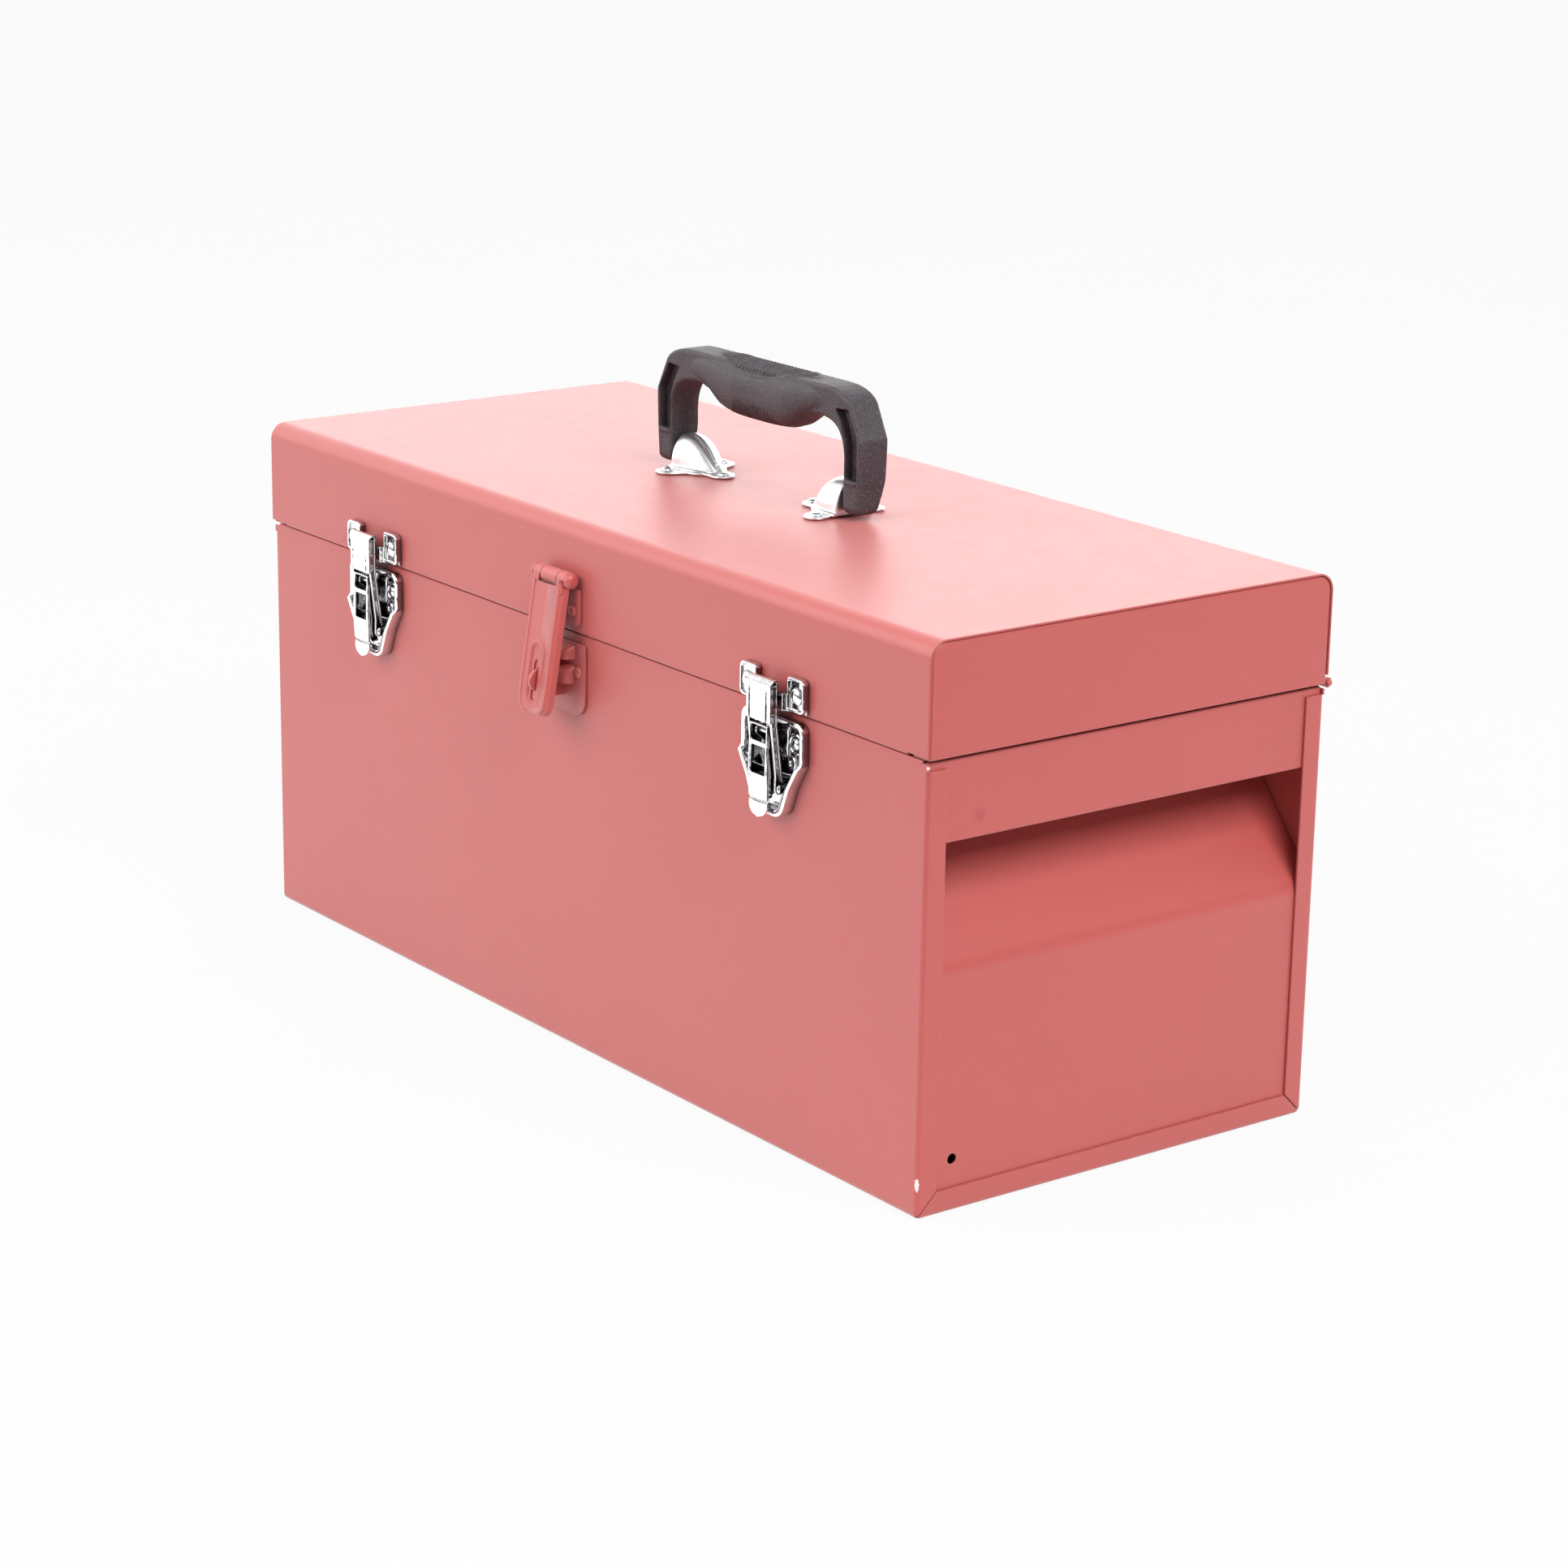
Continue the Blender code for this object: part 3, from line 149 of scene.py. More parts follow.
# ---- closed shapes --------------------------------------------------------------------
class Shape:
    """Corners are shared between faces; a face whose corners fall together is dropped."""

    def __init__(self):
        self.at, self.points, self.faces = {}, [], []

    def corner(self, p):
        key = tuple(round(c * 2000.0) for c in p)
        if key not in self.at:
            self.at[key] = len(self.points)
            self.points.append(tuple(p))
        return self.at[key]

    def face(self, pts):
        ids = []
        for p in pts:
            i = self.corner(p)
            if not ids or ids[-1] != i:
                ids.append(i)
        while len(ids) > 1 and ids[0] == ids[-1]:
            ids.pop()
        if len(set(ids)) > 2:
            self.faces.append(ids)

    def loft(self, rings, start=True, end=True, round_=True):
        n = len(rings[0])
        for a, b in zip(rings, rings[1:]):
            for i in range(n if round_ else n - 1):
                j = (i + 1) % n
                self.face([a[i], a[j], b[j], b[i]])
        if start:
            self.face(list(rings[0]))
        if end:
            self.face(list(rings[-1]))
        return self

    def prism(self, outline, place, low, high, bev=0.0):
        """A plate of the outline between two heights; bev rounds both of its rims."""
        if bev <= 0:
            return self.loft([[place(u, v, low) for u, v in outline], [place(u, v, high) for u, v in outline]])
        rings, sign = [], 1.0 if high > low else -1.0
        steps = [(bev, 0.0), (bev * 0.62, bev * 0.076), (bev * 0.293, bev * 0.293), (bev * 0.076, bev * 0.62), (0.0, bev)]
        for d, h in steps:
            rings.append([place(u, v, low + sign * h) for u, v in inset(outline, d)])
        for d, h in reversed(steps):
            rings.append([place(u, v, high - sign * h) for u, v in inset(outline, d)])
        return self.loft(rings)

    def rings(self, outline, place, steps):
        """A plate whose rims follow steps of (inset, height)."""
        return self.loft([[place(u, v, h) for u, v in (inset(outline, d) if d else outline)] for d, h in steps])

    def spin(self, profile, place, sides=40):
        rings = [[place(r * math.cos(2 * math.pi * k / sides), r * math.sin(2 * math.pi * k / sides), h) for k in range(sides)] for r, h in profile]
        return self.loft(rings, start=profile[0][0] > 0.001, end=profile[-1][0] > 0.001)

    def tube(self, path, radius, sides=12, squash=None):
        """A round bar along 3-D points; squash = (unit vector, factor) flattens it."""
        pts = [Vector(p) for p in path]
        rings, last = [], None
        for i, p in enumerate(pts):
            t = (pts[min(i + 1, len(pts) - 1)] - pts[max(i - 1, 0)]).normalized()
            if last is None:
                last = t.orthogonal().normalized()
            last = (last - t * last.dot(t)).normalized()
            other = t.cross(last)
            r = radius[i] if isinstance(radius, (list, tuple)) else radius
            ring = []
            for k in range(sides):
                a = 2 * math.pi * k / sides
                q = last * (r * math.cos(a)) + other * (r * math.sin(a))
                if squash:
                    q -= Vector(squash[0]) * q.dot(Vector(squash[0])) * (1 - squash[1])
                ring.append(tuple(p + q))
            rings.append(ring)
        return self.loft(rings)


def along_x(u, v, w):
    return (w, u, v)


def along_y(u, v, w):
    return (u, w, v)


def along_z(u, v, w):
    return (u, v, w)


def mesh_of(shape, name="part"):
    bm = bmesh.new()
    vs = [bm.verts.new((x * MM, y * MM, z * MM)) for x, y, z in shape.points]
    for ids in shape.faces:
        f = [vs[i] for i in ids]
        if bm.faces.get(f) is None:
            bm.faces.new(f)
    bmesh.ops.recalc_face_normals(bm, faces=bm.faces)
    mesh = bpy.data.meshes.new(name)
    bm.to_mesh(mesh)
    bm.free()
    return mesh


def object_of(shape_or_mesh, name="part"):
    mesh = shape_or_mesh if isinstance(shape_or_mesh, bpy.types.Mesh) else mesh_of(shape_or_mesh, name)
    ob = bpy.data.objects.new(name, mesh)
    bpy.context.scene.collection.objects.link(ob)
    return ob


def evaluated(ob):
    """The object's mesh with its modifiers applied; the object goes."""
    bpy.context.view_layer.update()
    deps = bpy.context.evaluated_depsgraph_get()
    mesh = bpy.data.meshes.new_from_object(ob.evaluated_get(deps))
    bpy.data.objects.remove(ob, do_unlink=True)
    return mesh


def volume(mesh):
    bm = bmesh.new()
    bm.from_mesh(mesh)
    v = abs(bm.calc_volume()) / MM ** 3
    bm.free()
    return v


def boolean(base, others, how):
    """base and others are shapes or meshes; returns a mesh. A result whose volume can't be right is worked out again, more carefully."""
    mesh = base if isinstance(base, bpy.types.Mesh) else mesh_of(base)
    for other in others:
        tool_mesh = other if isinstance(other, bpy.types.Mesh) else mesh_of(other, "tool")
        start, tool_size, best = volume(mesh), volume(tool_mesh), None
        for careful, tolerant in ((False, False), (True, False), (True, True)):
            ob, tool = object_of(mesh.copy()), object_of(tool_mesh, "tool")
            m = ob.modifiers.new("b", "BOOLEAN")
            m.operation, m.solver, m.object = how, "EXACT", tool
            m.use_self, m.use_hole_tolerant = careful, tolerant
            out = evaluated(ob)
            bpy.data.objects.remove(tool, do_unlink=True)
            size = volume(out)
            slack = 0.02 * min(start, tool_size) + 0.05
            if how == "UNION":
                off = max(0.0, max(start, tool_size) - size, size - start - tool_size)
            else:
                off = max(0.0, size - start, start - tool_size - size)
            if best is None or off < best[0]:
                best = (off, out)
            if off <= slack:
                break
        else:
            print("boolean left %.2f mm3 in doubt" % best[0], how, other if isinstance(other, str) else "")
        mesh = best[1]
    return mesh


def union(base, *others):
    return boolean(base, others, "UNION")


def carve(base, *others):
    return boolean(base, others, "DIFFERENCE")


def softened(mesh, width, segments=2, angle=30.0, clamp=False):
    """Rounds the mesh's hard edges by width mm."""
    bm = bmesh.new()
    bm.from_mesh(mesh)
    bmesh.ops.remove_doubles(bm, verts=bm.verts, dist=2e-6)
    bmesh.ops.dissolve_limit(bm, angle_limit=math.radians(0.4), verts=bm.verts, edges=bm.edges)
    bmesh.ops.dissolve_degenerate(bm, dist=2e-6, edges=bm.edges)
    limit = math.radians(angle)
    edges = [e for e in bm.edges if len(e.link_faces) == 2 and e.calc_face_angle(0.0) > limit]
    if edges and width > 0:
        bmesh.ops.bevel(bm, geom=edges, offset=width * MM, offset_type="OFFSET", segments=segments, profile=0.5, affect="EDGES", clamp_overlap=clamp, harden_normals=False)
    bmesh.ops.recalc_face_normals(bm, faces=bm.faces)
    out = bpy.data.meshes.new("soft")
    bm.to_mesh(out)
    bm.free()
    return out


def remeshed(mesh, voxel, smooth=4, factor=0.5):
    """One smooth skin over the mesh, as a moulded or pressed piece has."""
    ob = object_of(mesh)
    m = ob.modifiers.new("r", "REMESH")
    m.mode, m.voxel_size, m.adaptivity = "VOXEL", voxel * MM, 0.0
    if smooth:
        s = ob.modifiers.new("s", "SMOOTH")
        s.factor, s.iterations = factor, smooth
    return evaluated(ob)


def add_piece(name, mesh, body, nodes, mat, smooth_angle=38.0, weighted=True):
    if not isinstance(mesh, bpy.types.Mesh):
        mesh = mesh_of(mesh, name)
    mesh.name = name
    ob = bpy.data.objects.new(name, mesh)
    bpy.context.scene.collection.objects.link(ob)
    mesh.shade_smooth()
    mesh.set_sharp_from_angle(angle=math.radians(smooth_angle))
    if weighted:
        w = ob.modifiers.new("normals", "WEIGHTED_NORMAL")
        w.keep_sharp = True
        w.weight = 60
    mesh.materials.clear()
    mesh.materials.append(mat)
    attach(ob, body)
    if nodes:
        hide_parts(*nodes)
    return ob


# ---- materials -----------------------------------------------------------------------
class Nodes:
    """Short calls for building a node tree."""

    def __init__(self, name, world=False):
        if world:
            self.owner = bpy.data.worlds.new(name)
        else:
            self.owner = bpy.data.materials.new(name)
        self.owner.use_nodes = True
        self.tree = self.owner.node_tree
        self.tree.nodes.clear()

    def new(self, kind, **inputs):
        n = self.tree.nodes.new(kind)
        for key, value in inputs.items():
            self.put(n, key, value)
        return n

    def put(self, n, key, value):
        name = {"From_Min": "From Min", "From_Max": "From Max", "To_Min": "To Min", "To_Max": "To Max"}.get(key, key.replace("_", " "))
        if hasattr(n, key) and key not in n.inputs and not isinstance(value, bpy.types.NodeSocket):
            setattr(n, key, value)
            return
        socket = n.inputs[name] if name in n.inputs else n.inputs[int(key[1:])]
        if isinstance(value, bpy.types.NodeSocket):
            self.tree.links.new(value, socket)
        else:
            socket.default_value = value

    def math(self, op, a, b=None, c=None, clamp=False):
        n = self.tree.nodes.new("ShaderNodeMath")
        n.operation, n.use_clamp = op, clamp
        for i, v in enumerate((a, b, c)):
            if v is None:
                continue
            if isinstance(v, bpy.types.NodeSocket):
                self.tree.links.new(v, n.inputs[i])
            else:
                n.inputs[i].default_value = v
        return n.outputs[0]

    def vmath(self, op, a, b=None, scale=None):
        n = self.tree.nodes.new("ShaderNodeVectorMath")
        n.operation = op
        for i, v in enumerate((a, b)):
            if v is None:
                continue
            if isinstance(v, bpy.types.NodeSocket):
                self.tree.links.new(v, n.inputs[i])
            else:
                n.inputs[i].default_value = v
        if scale is not None:
            n.inputs[3].default_value = scale
        return n.outputs["Value"] if op in ("LENGTH", "DOT_PRODUCT", "DISTANCE") else n.outputs[0]

    def noise(self, vector, scale, detail=3.0, rough=0.55):
        n = self.new("ShaderNodeTexNoise", Vector=vector, Scale=scale, Detail=detail, Roughness=rough)
        return n.outputs["Fac"]

    def span(self, value, a, b, c=0.0, d=1.0, smooth=True):
        n = self.tree.nodes.new("ShaderNodeMapRange")
        n.interpolation_type = "SMOOTHSTEP" if smooth else "LINEAR"
        self.tree.links.new(value, n.inputs["Value"])
        for key, v in (("From Min", a), ("From Max", b), ("To Min", c), ("To Max", d)):
            n.inputs[key].default_value = v
        return n.outputs["Result"]

    def mix(self, fac, a, b):
        n = self.tree.nodes.new("ShaderNodeMix")
        n.data_type = "RGBA"
        for socket, v in ((n.inputs[0], fac), (n.inputs[6], a), (n.inputs[7], b)):
            if isinstance(v, bpy.types.NodeSocket):
                self.tree.links.new(v, socket)
            else:
                socket.default_value = (*v, 1.0) if isinstance(v, (tuple, list)) else v
        return n.outputs[2]

    def bump(self, height, strength, distance, normal=None):
        n = self.tree.nodes.new("ShaderNodeBump")
        n.inputs["Strength"].default_value = strength
        n.inputs["Distance"].default_value = distance
        self.tree.links.new(height, n.inputs["Height"])
        if normal is not None:
            self.tree.links.new(normal, n.inputs["Normal"])
        return n.outputs[0]

    def place(self):
        """Where the shaded point is at rest, in metres."""
        return self.new("ShaderNodeTexCoord").outputs["Object"]

    def rounded_normal(self, radius, samples=4):
        n = self.tree.nodes.new("ShaderNodeBevel")
        n.samples = samples
        n.inputs["Radius"].default_value = radius
        return n.outputs[0]

    def finish(self, shader, kind="ShaderNodeOutputMaterial"):
        out = self.tree.nodes.new(kind)
        self.tree.links.new(shader, out.inputs["Surface"])
        return self.owner


RED = (0.472, 0.070, 0.061)


def paint(name, colour=RED, chips=(), spots=(), round_mm=0.0, rough=0.42):
    """Baked powder coat: a fine orange peel over a slow unevenness of tone, worn a little on its edges.
    chips are (place in mm, radii in mm) where bare metal shows; spots are (place, radius) where a weld shows through."""
    n = Nodes(name)
    at = n.place()
    peel = n.noise(at, 900.0, 3.0, 0.6)
    fine = n.noise(at, 2600.0, 2.0, 0.5)
    cloud = n.noise(at, 14.0, 4.0, 0.6)
    tone = n.math("ADD", n.math("MULTIPLY", cloud, 0.6), n.math("MULTIPLY", fine, 0.4))
    base = n.mix(n.span(tone, 0.36, 0.64, 0.0, 1.0), tuple(c * 0.985 for c in colour), tuple(min(1, c * 1.015 + 0.001) for c in colour))
    roughness = n.span(n.noise(at, 90.0, 3.0, 0.6), 0.3, 0.7, rough - 0.012, rough + 0.015)
    metal = None
    flat = n.rounded_normal(round_mm * MM if round_mm else 0.0005, 4)
    geo = n.new("ShaderNodeNewGeometry")
    edge = n.math("SUBTRACT", 1.0, n.vmath("DOT_PRODUCT", flat, geo.outputs["Normal"]))
    worn = n.math("MULTIPLY", n.span(edge, 0.02, 0.22), n.span(n.noise(at, 220.0, 5.0, 0.7), 0.42, 0.75))
    base = n.mix(n.math("MULTIPLY", worn, 0.35), base, (0.86, 0.50, 0.46))
    for spot, radius in spots:
        d = n.vmath("DISTANCE", at, tuple(c * MM for c in spot))
        wob = n.math("ADD", d, n.math("MULTIPLY", n.math("SUBTRACT", n.noise(at, 500.0), 0.5), 0.0016))
        base = n.mix(n.math("MULTIPLY", n.span(wob, radius * MM * 0.2, radius * MM, 1.0, 0.0), 0.62), base, (0.36, 0.030, 0.034))
    for chip, radii in chips:
        d = n.vmath("SUBTRACT", at, tuple(c * MM for c in chip))
        d = n.vmath("DIVIDE", d, tuple(r * MM for r in radii))
        d = n.math("ADD", n.vmath("LENGTH", d), n.math("MULTIPLY", n.math("SUBTRACT", n.noise(at, 700.0, 4.0, 0.7), 0.5), 1.6))
        mask = n.span(d, 0.86, 0.98, 1.0, 0.0)
        base = n.mix(mask, base, (0.74, 0.66, 0.66))
        roughness = n.math("ADD", roughness, n.math("MULTIPLY", mask, -0.12))
        metal = mask if metal is None else n.math("MAXIMUM", metal, mask)
    height = n.math("ADD", n.math("MULTIPLY", peel, 1.0), n.math("MULTIPLY", fine, 0.35))
    normal = n.bump(height, 0.16, 0.00022, flat if round_mm else None)
    p = n.new("ShaderNodeBsdfPrincipled", Base_Color=base, Roughness=roughness, Normal=normal)
    n.put(p, "IOR", 1.62)
    # painted sheen: the sheen is stronger on faces that point along Y, so the front reads lighter and hazier
    facing = n.new("ShaderNodeSeparateXYZ", Vector=geo.outputs["Normal"])
    n.put(p, "Sheen Weight", n.math("ADD", 0.21, n.math("MULTIPLY", n.math("ABSOLUTE", facing.outputs["Y"]), 0.11)))
    p.inputs["Sheen Roughness"].default_value = 0.5
    if metal is not None:
        n.put(p, "Metallic", n.math("MULTIPLY", metal, 0.7))
    return n.finish(p.outputs[0])


def chrome(name, round_mm=0.35, rough=0.07, tint=(0.88, 0.885, 0.90), deep=0.0075, hollow_shade=(0.17, 0.15, 0.165), waves=0.22, flanks=0.75):
    """Bright nickel-chrome over pressed steel: slow waves from the press, a few dull rub marks, painted shade in the
    hollows and a painted dark reflection on faces that point along X.
    """
    n = Nodes(name)
    at = n.place()
    wave = n.noise(at, 170.0, 2.0, 0.45)
    small = n.noise(at, 1500.0, 3.0, 0.6)
    rub = n.span(n.noise(at, 320.0, 6.0, 0.75), 0.52, 0.78)
    base = n.mix(n.math("MULTIPLY", rub, 0.35), tint, (0.66, 0.65, 0.66))
    # painted shade: the colour darkens where ambient occlusion finds nearby surfaces, in hollows and behind parts
    open_sky = n.new("ShaderNodeAmbientOcclusion", samples=6, Distance=deep)
    base = n.mix(n.span(open_sky.outputs["AO"], 0.42, 0.86), hollow_shade, base)
    # painted dark reflection: faces that point along X are darkened towards a dark red-grey, as if they reflected the
    # shaded wall
    facing = n.new("ShaderNodeSeparateXYZ", Vector=n.new("ShaderNodeNewGeometry").outputs["Normal"])
    flank = n.span(n.math("ABSOLUTE", facing.outputs["X"]), 0.95, 0.995)
    base = n.mix(n.math("MULTIPLY", flank, flanks), base, (0.13, 0.10, 0.11))
    roughness = n.math("ADD", n.math("MULTIPLY", rub, 0.16), rough)
    flat = n.rounded_normal(round_mm * MM, 6)
    normal = n.bump(wave, waves, 0.0009, flat)
    normal = n.bump(small, 0.05, 0.00012, normal)
    p = n.new("ShaderNodeBsdfPrincipled", Base_Color=base, Roughness=roughness, Metallic=1.0, Normal=normal)
    return n.finish(p.outputs[0])


def zinc(name):
    """Zinc-plated steel with a faint brushed grain along X."""
    n = Nodes(name)
    at = n.place()
    long = n.vmath("MULTIPLY", at, (0.06, 1.0, 1.0))
    grain = n.noise(long, 5200.0, 2.0, 0.5)
    blotch = n.noise(at, 420.0, 5.0, 0.7)
    base = n.mix(n.span(blotch, 0.35, 0.68), (0.36, 0.36, 0.37), (0.52, 0.51, 0.50))
    p = n.new("ShaderNodeBsdfPrincipled", Base_Color=base, Roughness=n.span(blotch, 0.3, 0.7, 0.34, 0.50), Metallic=1.0,
              Normal=n.bump(grain, 0.25, 0.00006, n.rounded_normal(0.0003)))
    return n.finish(p.outputs[0])


def plastic(name):
    """Moulded black nylon with a spark-eroded grain, a little greyer where hands rub it."""
    n = Nodes(name)
    at = n.place()
    grain = n.noise(at, 1050.0, 4.0, 0.62)
    cell = n.new("ShaderNodeTexVoronoi", Vector=at, Scale=1300.0).outputs["Distance"]
    cloud = n.noise(at, 60.0, 4.0, 0.6)
    base = n.mix(n.span(cloud, 0.35, 0.65), (0.040, 0.033, 0.039), (0.060, 0.051, 0.058))
    base = n.mix(n.span(grain, 0.48, 0.72, 0.0, 0.75), base, (0.145, 0.125, 0.140))
    height = n.math("ADD", n.math("MULTIPLY", grain, 0.7), n.math("MULTIPLY", cell, 0.6))
    p = n.new("ShaderNodeBsdfPrincipled", Base_Color=base, Roughness=n.span(grain, 0.3, 0.7, 0.50, 0.68), Normal=n.bump(height, 0.9, 0.00022))
    n.put(p, "IOR", 1.48)
    return n.finish(p.outputs[0])


SHELL_PAINT = paint("powder_coat_shell", chips=(((252.8, -106.9, 15.2), (1.3, 1.3, 3.4)), ((252.9, -107.0, 189.8), (1.0, 1.0, 0.7))), round_mm=0.5)
END_PAINT = paint("powder_coat_end", spots=(((251.8, -78.9, 165.9), 4.6), ((-251.8, 78.9, 165.9), 4.6)), round_mm=0.3)
LID_PAINT = paint("powder_coat_lid", round_mm=0.35)
SMALL_PAINT = paint("powder_coat_fittings", colour=(0.50, 0.082, 0.074), round_mm=0.22)
CHROME = chrome("bright_chrome")
BRACKET_CHROME = chrome("pressed_chrome", round_mm=0.3, rough=0.33, tint=(0.93, 0.93, 0.94), deep=0.0025, hollow_shade=(0.70, 0.69, 0.70), waves=0.03, flanks=0.0)
ZINC = zinc("zinc_plate")
PLASTIC = plastic("black_nylon")

# ---- body shell ------------------------------------------------------------------------
END_R = 1.9   # bend where the walls turn into the end flanges


def bent_sheet(stations, half, hem_half, radius):
    """Stations (outer, inner, tip, full): the sheet runs along X and, where it has a tip, turns in at both ends through a bend."""
    rings = []
    steps = [math.radians(a) for a in (0, 15, 30, 45, 60, 75, 90)]
    for outer, inner, tip, full in stations:
        nrm = (inner[0] - outer[0], inner[1] - outer[1])
        ln = math.hypot(*nrm)
        nrm = (nrm[0] / ln, nrm[1] / ln)
        h = half if full else hem_half
        flange = tip is not None and full

        def out_point(a, r, base_depth):
            if flange:
                depth = radius - r * math.cos(a)
                return h - radius + r * math.sin(a), (outer[0] + nrm[0] * depth, outer[1] + nrm[1] * depth)
            return h - radius + radius * math.sin(a), (outer if base_depth == 0 else inner)

        right = []
        for a in steps:
            x, p = out_point(a, radius, 0)
            right.append((x, p))
        if flange:
            right += [(h, tip), (h - SHEET, tip)]
        else:
            right += [(h, inner), (h, inner)]
        for a in reversed(steps):
            x, p = out_point(a, radius - SHEET, 1)
            right.append((x, p))
        ring = [(x, *p) for x, p in right]
        ring += [(-x, y, z) for x, y, z in reversed(ring)]
        rings.append(ring)
    return Shape().loft(rings)


def hem_turn(cy, cz, a0, a1, step=22.5):
    return list(zip(arc(cy, cz, RO, a0, a1, step), arc(cy, cz, RI, a0, a1, step)))


def body_half(sign, rim):
    def at(y, z):
        return (sign * y, z)
    yo, out = BOX_Y, []
    out.append((at(yo - 2 * RO, rim - HEM), at(yo - RO - RI, rim - HEM), None, False))
    for o, i in hem_turn(yo - RO, rim - RO, 180, 0):
        out.append((at(*o), at(*i), None, False))
    out.append((at(yo, rim - RO), at(yo - SHEET, rim - RO), None, True))
    out.append((at(yo, FLANGE_TOP), at(yo - SHEET, FLANGE_TOP), None, True))
    out.append((at(yo, FLANGE_TOP), at(yo - SHEET, FLANGE_TOP), at(yo - FLANGE, FLANGE_TOP), True))
    out.append((at(yo, FLANGE), at(yo - SHEET, FLANGE), at(yo - FLANGE, FLANGE), True))
    for o, i in zip(arc(yo - BOX_BEND, BOX_BEND, BOX_BEND, 0, -90, 11.25), arc(yo - BOX_BEND, BOX_BEND, BOX_BEND - SHEET, 0, -90, 11.25)):
        out.append((at(*o), at(*i), at(yo - FLANGE, FLANGE), True))
    out.append((at(yo - FLANGE, 0.0), at(yo - FLANGE, SHEET), at(yo - FLANGE, FLANGE), True))
    return out


RIVET_HOLE = 1.62
HOLES = {"body": [], "lid": []}
PARTS = {}

shell = mesh_of(bent_sheet(body_half(-1, RIM_FRONT) + body_half(1, RIM_BACK)[::-1], BOX_X, BOX_X - 3.6, END_R))
slits = Shape()
for sx in (-1, 1):
    for sy in (-1, 1):
        # mitre between the upright flange and the bottom one, from the corner to the flanges' inner corner
        a = math.radians(45)
        d = (math.cos(a), math.sin(a))
        w = 0.30
        p0, p1 = (BOX_Y - 0.6, 0.6), (BOX_Y - FLANGE - 0.4, FLANGE + 0.4)
        nx, nz = (d[1] * w, d[0] * w)
        quad = [(sy * (p0[0] + nx), p0[1] + nz), (sy * (p0[0] - nx), p0[1] - nz), (sy * (p1[0] - nx), p1[1] - nz), (sy * (p1[0] + nx), p1[1] + nz)]
        slits.prism(quad, along_x, sx * 249.0, sx * 256.0)
PARTS["shell"] = (shell, slits)

# ---- lid skin -----------------------------------------------------------------------------
def lid_half(sign, low):
    def at(y, z):
        return (sign * y, z)
    yo = LID_Y
    out = [(at(yo - 2 * RO, low + LID_HEM), at(yo - RO - RI, low + LID_HEM), False)]
    for o, i in hem_turn(yo - RO, low + RO, -180, 0):
        out.append((at(*o), at(*i), False))
    out.append((at(yo, low + RO), at(yo - SHEET, low + RO), True))
    for o, i in zip(arc(yo - LID_BEND, LID_TOP - LID_BEND, LID_BEND, 0, 90, 6), arc(yo - LID_BEND, LID_TOP - LID_BEND, LID_BEND - SHEET, 0, 90, 6)):
        out.append((at(*o), at(*i), True))
    return out


def lid_rings():
    rings = []
    for outer, inner, full in lid_half(-1, LID_LOW) + lid_half(1, LID_LOW_BACK)[::-1]:
        h = LID_X if full else LID_X - 13.0
        b = 0.22 if full else 0.1
        c = (inner[0] - outer[0], inner[1] - outer[1])
        o2 = (outer[0] + c[0] * b / SHEET, outer[1] + c[1] * b / SHEET)
        i2 = (inner[0] - c[0] * b / SHEET, inner[1] - c[1] * b / SHEET)
        ring = [(h - b, *outer), (h, *o2), (h, *i2), (h - b, *inner)]
        rings.append(ring + [(-x, y, z) for x, y, z in reversed(ring)])
    return Shape().loft(rings)


def lid_cap(side):
    yo, zo = LID_Y - SHEET - 0.25, LID_TOP - SHEET - 0.25
    r = LID_BEND - SHEET - 0.25

    def path(d):
        return [(-yo + d, LID_LOW)] + arc(-yo + r, zo - r, r - d, 180, 90, 6) + arc(yo - r, zo - r, r - d, 90, 0, 6) + [(yo - d, LID_LOW)]

    face, back = LID_X - 0.3, LID_X - 0.3 - CAP_FLANGE
    # the face plate turns into the flange through a small bend
    rows = []
    bend = 0.95
    for a in (90, 72, 54, 36, 18, 0):
        c, s = math.cos(math.radians(a)), math.sin(math.radians(a))
        rows.append((face - bend + bend * s, bend - bend * c))
    rows += [(back, 0.0), (back, SHEET)]
    for a in (0, 45, 90):
        c, s = math.cos(math.radians(a)), math.sin(math.radians(a))
        rows.append((face - bend + (bend - SHEET) * s, bend - (bend - SHEET) * c))
    s = Shape()
    grid = [[(side * x, y, z) for y, z in path(d)] for x, d in rows]
    for p, q in zip(grid, grid[1:]):
        for k in range(len(p) - 1):
            s.face([p[k], p[k + 1], q[k + 1], q[k]])
    s.face(grid[0])
    s.face(grid[-1])
    s.face([g[0] for g in grid] + [g[-1] for g in reversed(grid)])
    return s


for side, word in ((-1, "left"), (1, "right")):
    cap = lid_cap(side)
    add_piece("lid_end_cap_%s_pressed" % word, mesh_of(cap), "lid", ["lid_end_cap_" + word], LID_PAINT)

# ---- ends: pocketed panel and folded band ---------------------------------------------------
def panel_path():
    top = POCKET_LOW + (PANEL_X - POCKET_X) / LEAN
    return rounded([
        (PANEL_X - 9.0, 1.65), (PANEL_X, 1.65, 1.2), (PANEL_X, POCKET_LOW, 14.0), (POCKET_X, top, 8.0),
        (POCKET_X, POCKET_ROOF, 1.6), (PANEL_X - 1.2, POCKET_ROOF, 1.0), (PANEL_X - 1.2, 175.0),
    ], 4.5)


def band_path():
    x, low, top = PANEL_X, BAND_LOW + SHEET / 2 + 0.6, RIM_BACK - SHEET / 2 - 0.6
    return [(x - 1.2, low + 4.5)] + arc(x - 0.6, low, 0.6, 180, 360, 22.5) + arc(x - 0.6, top, 0.6, 0, 180, 22.5) + [(x - 1.2, top - 7.0)]


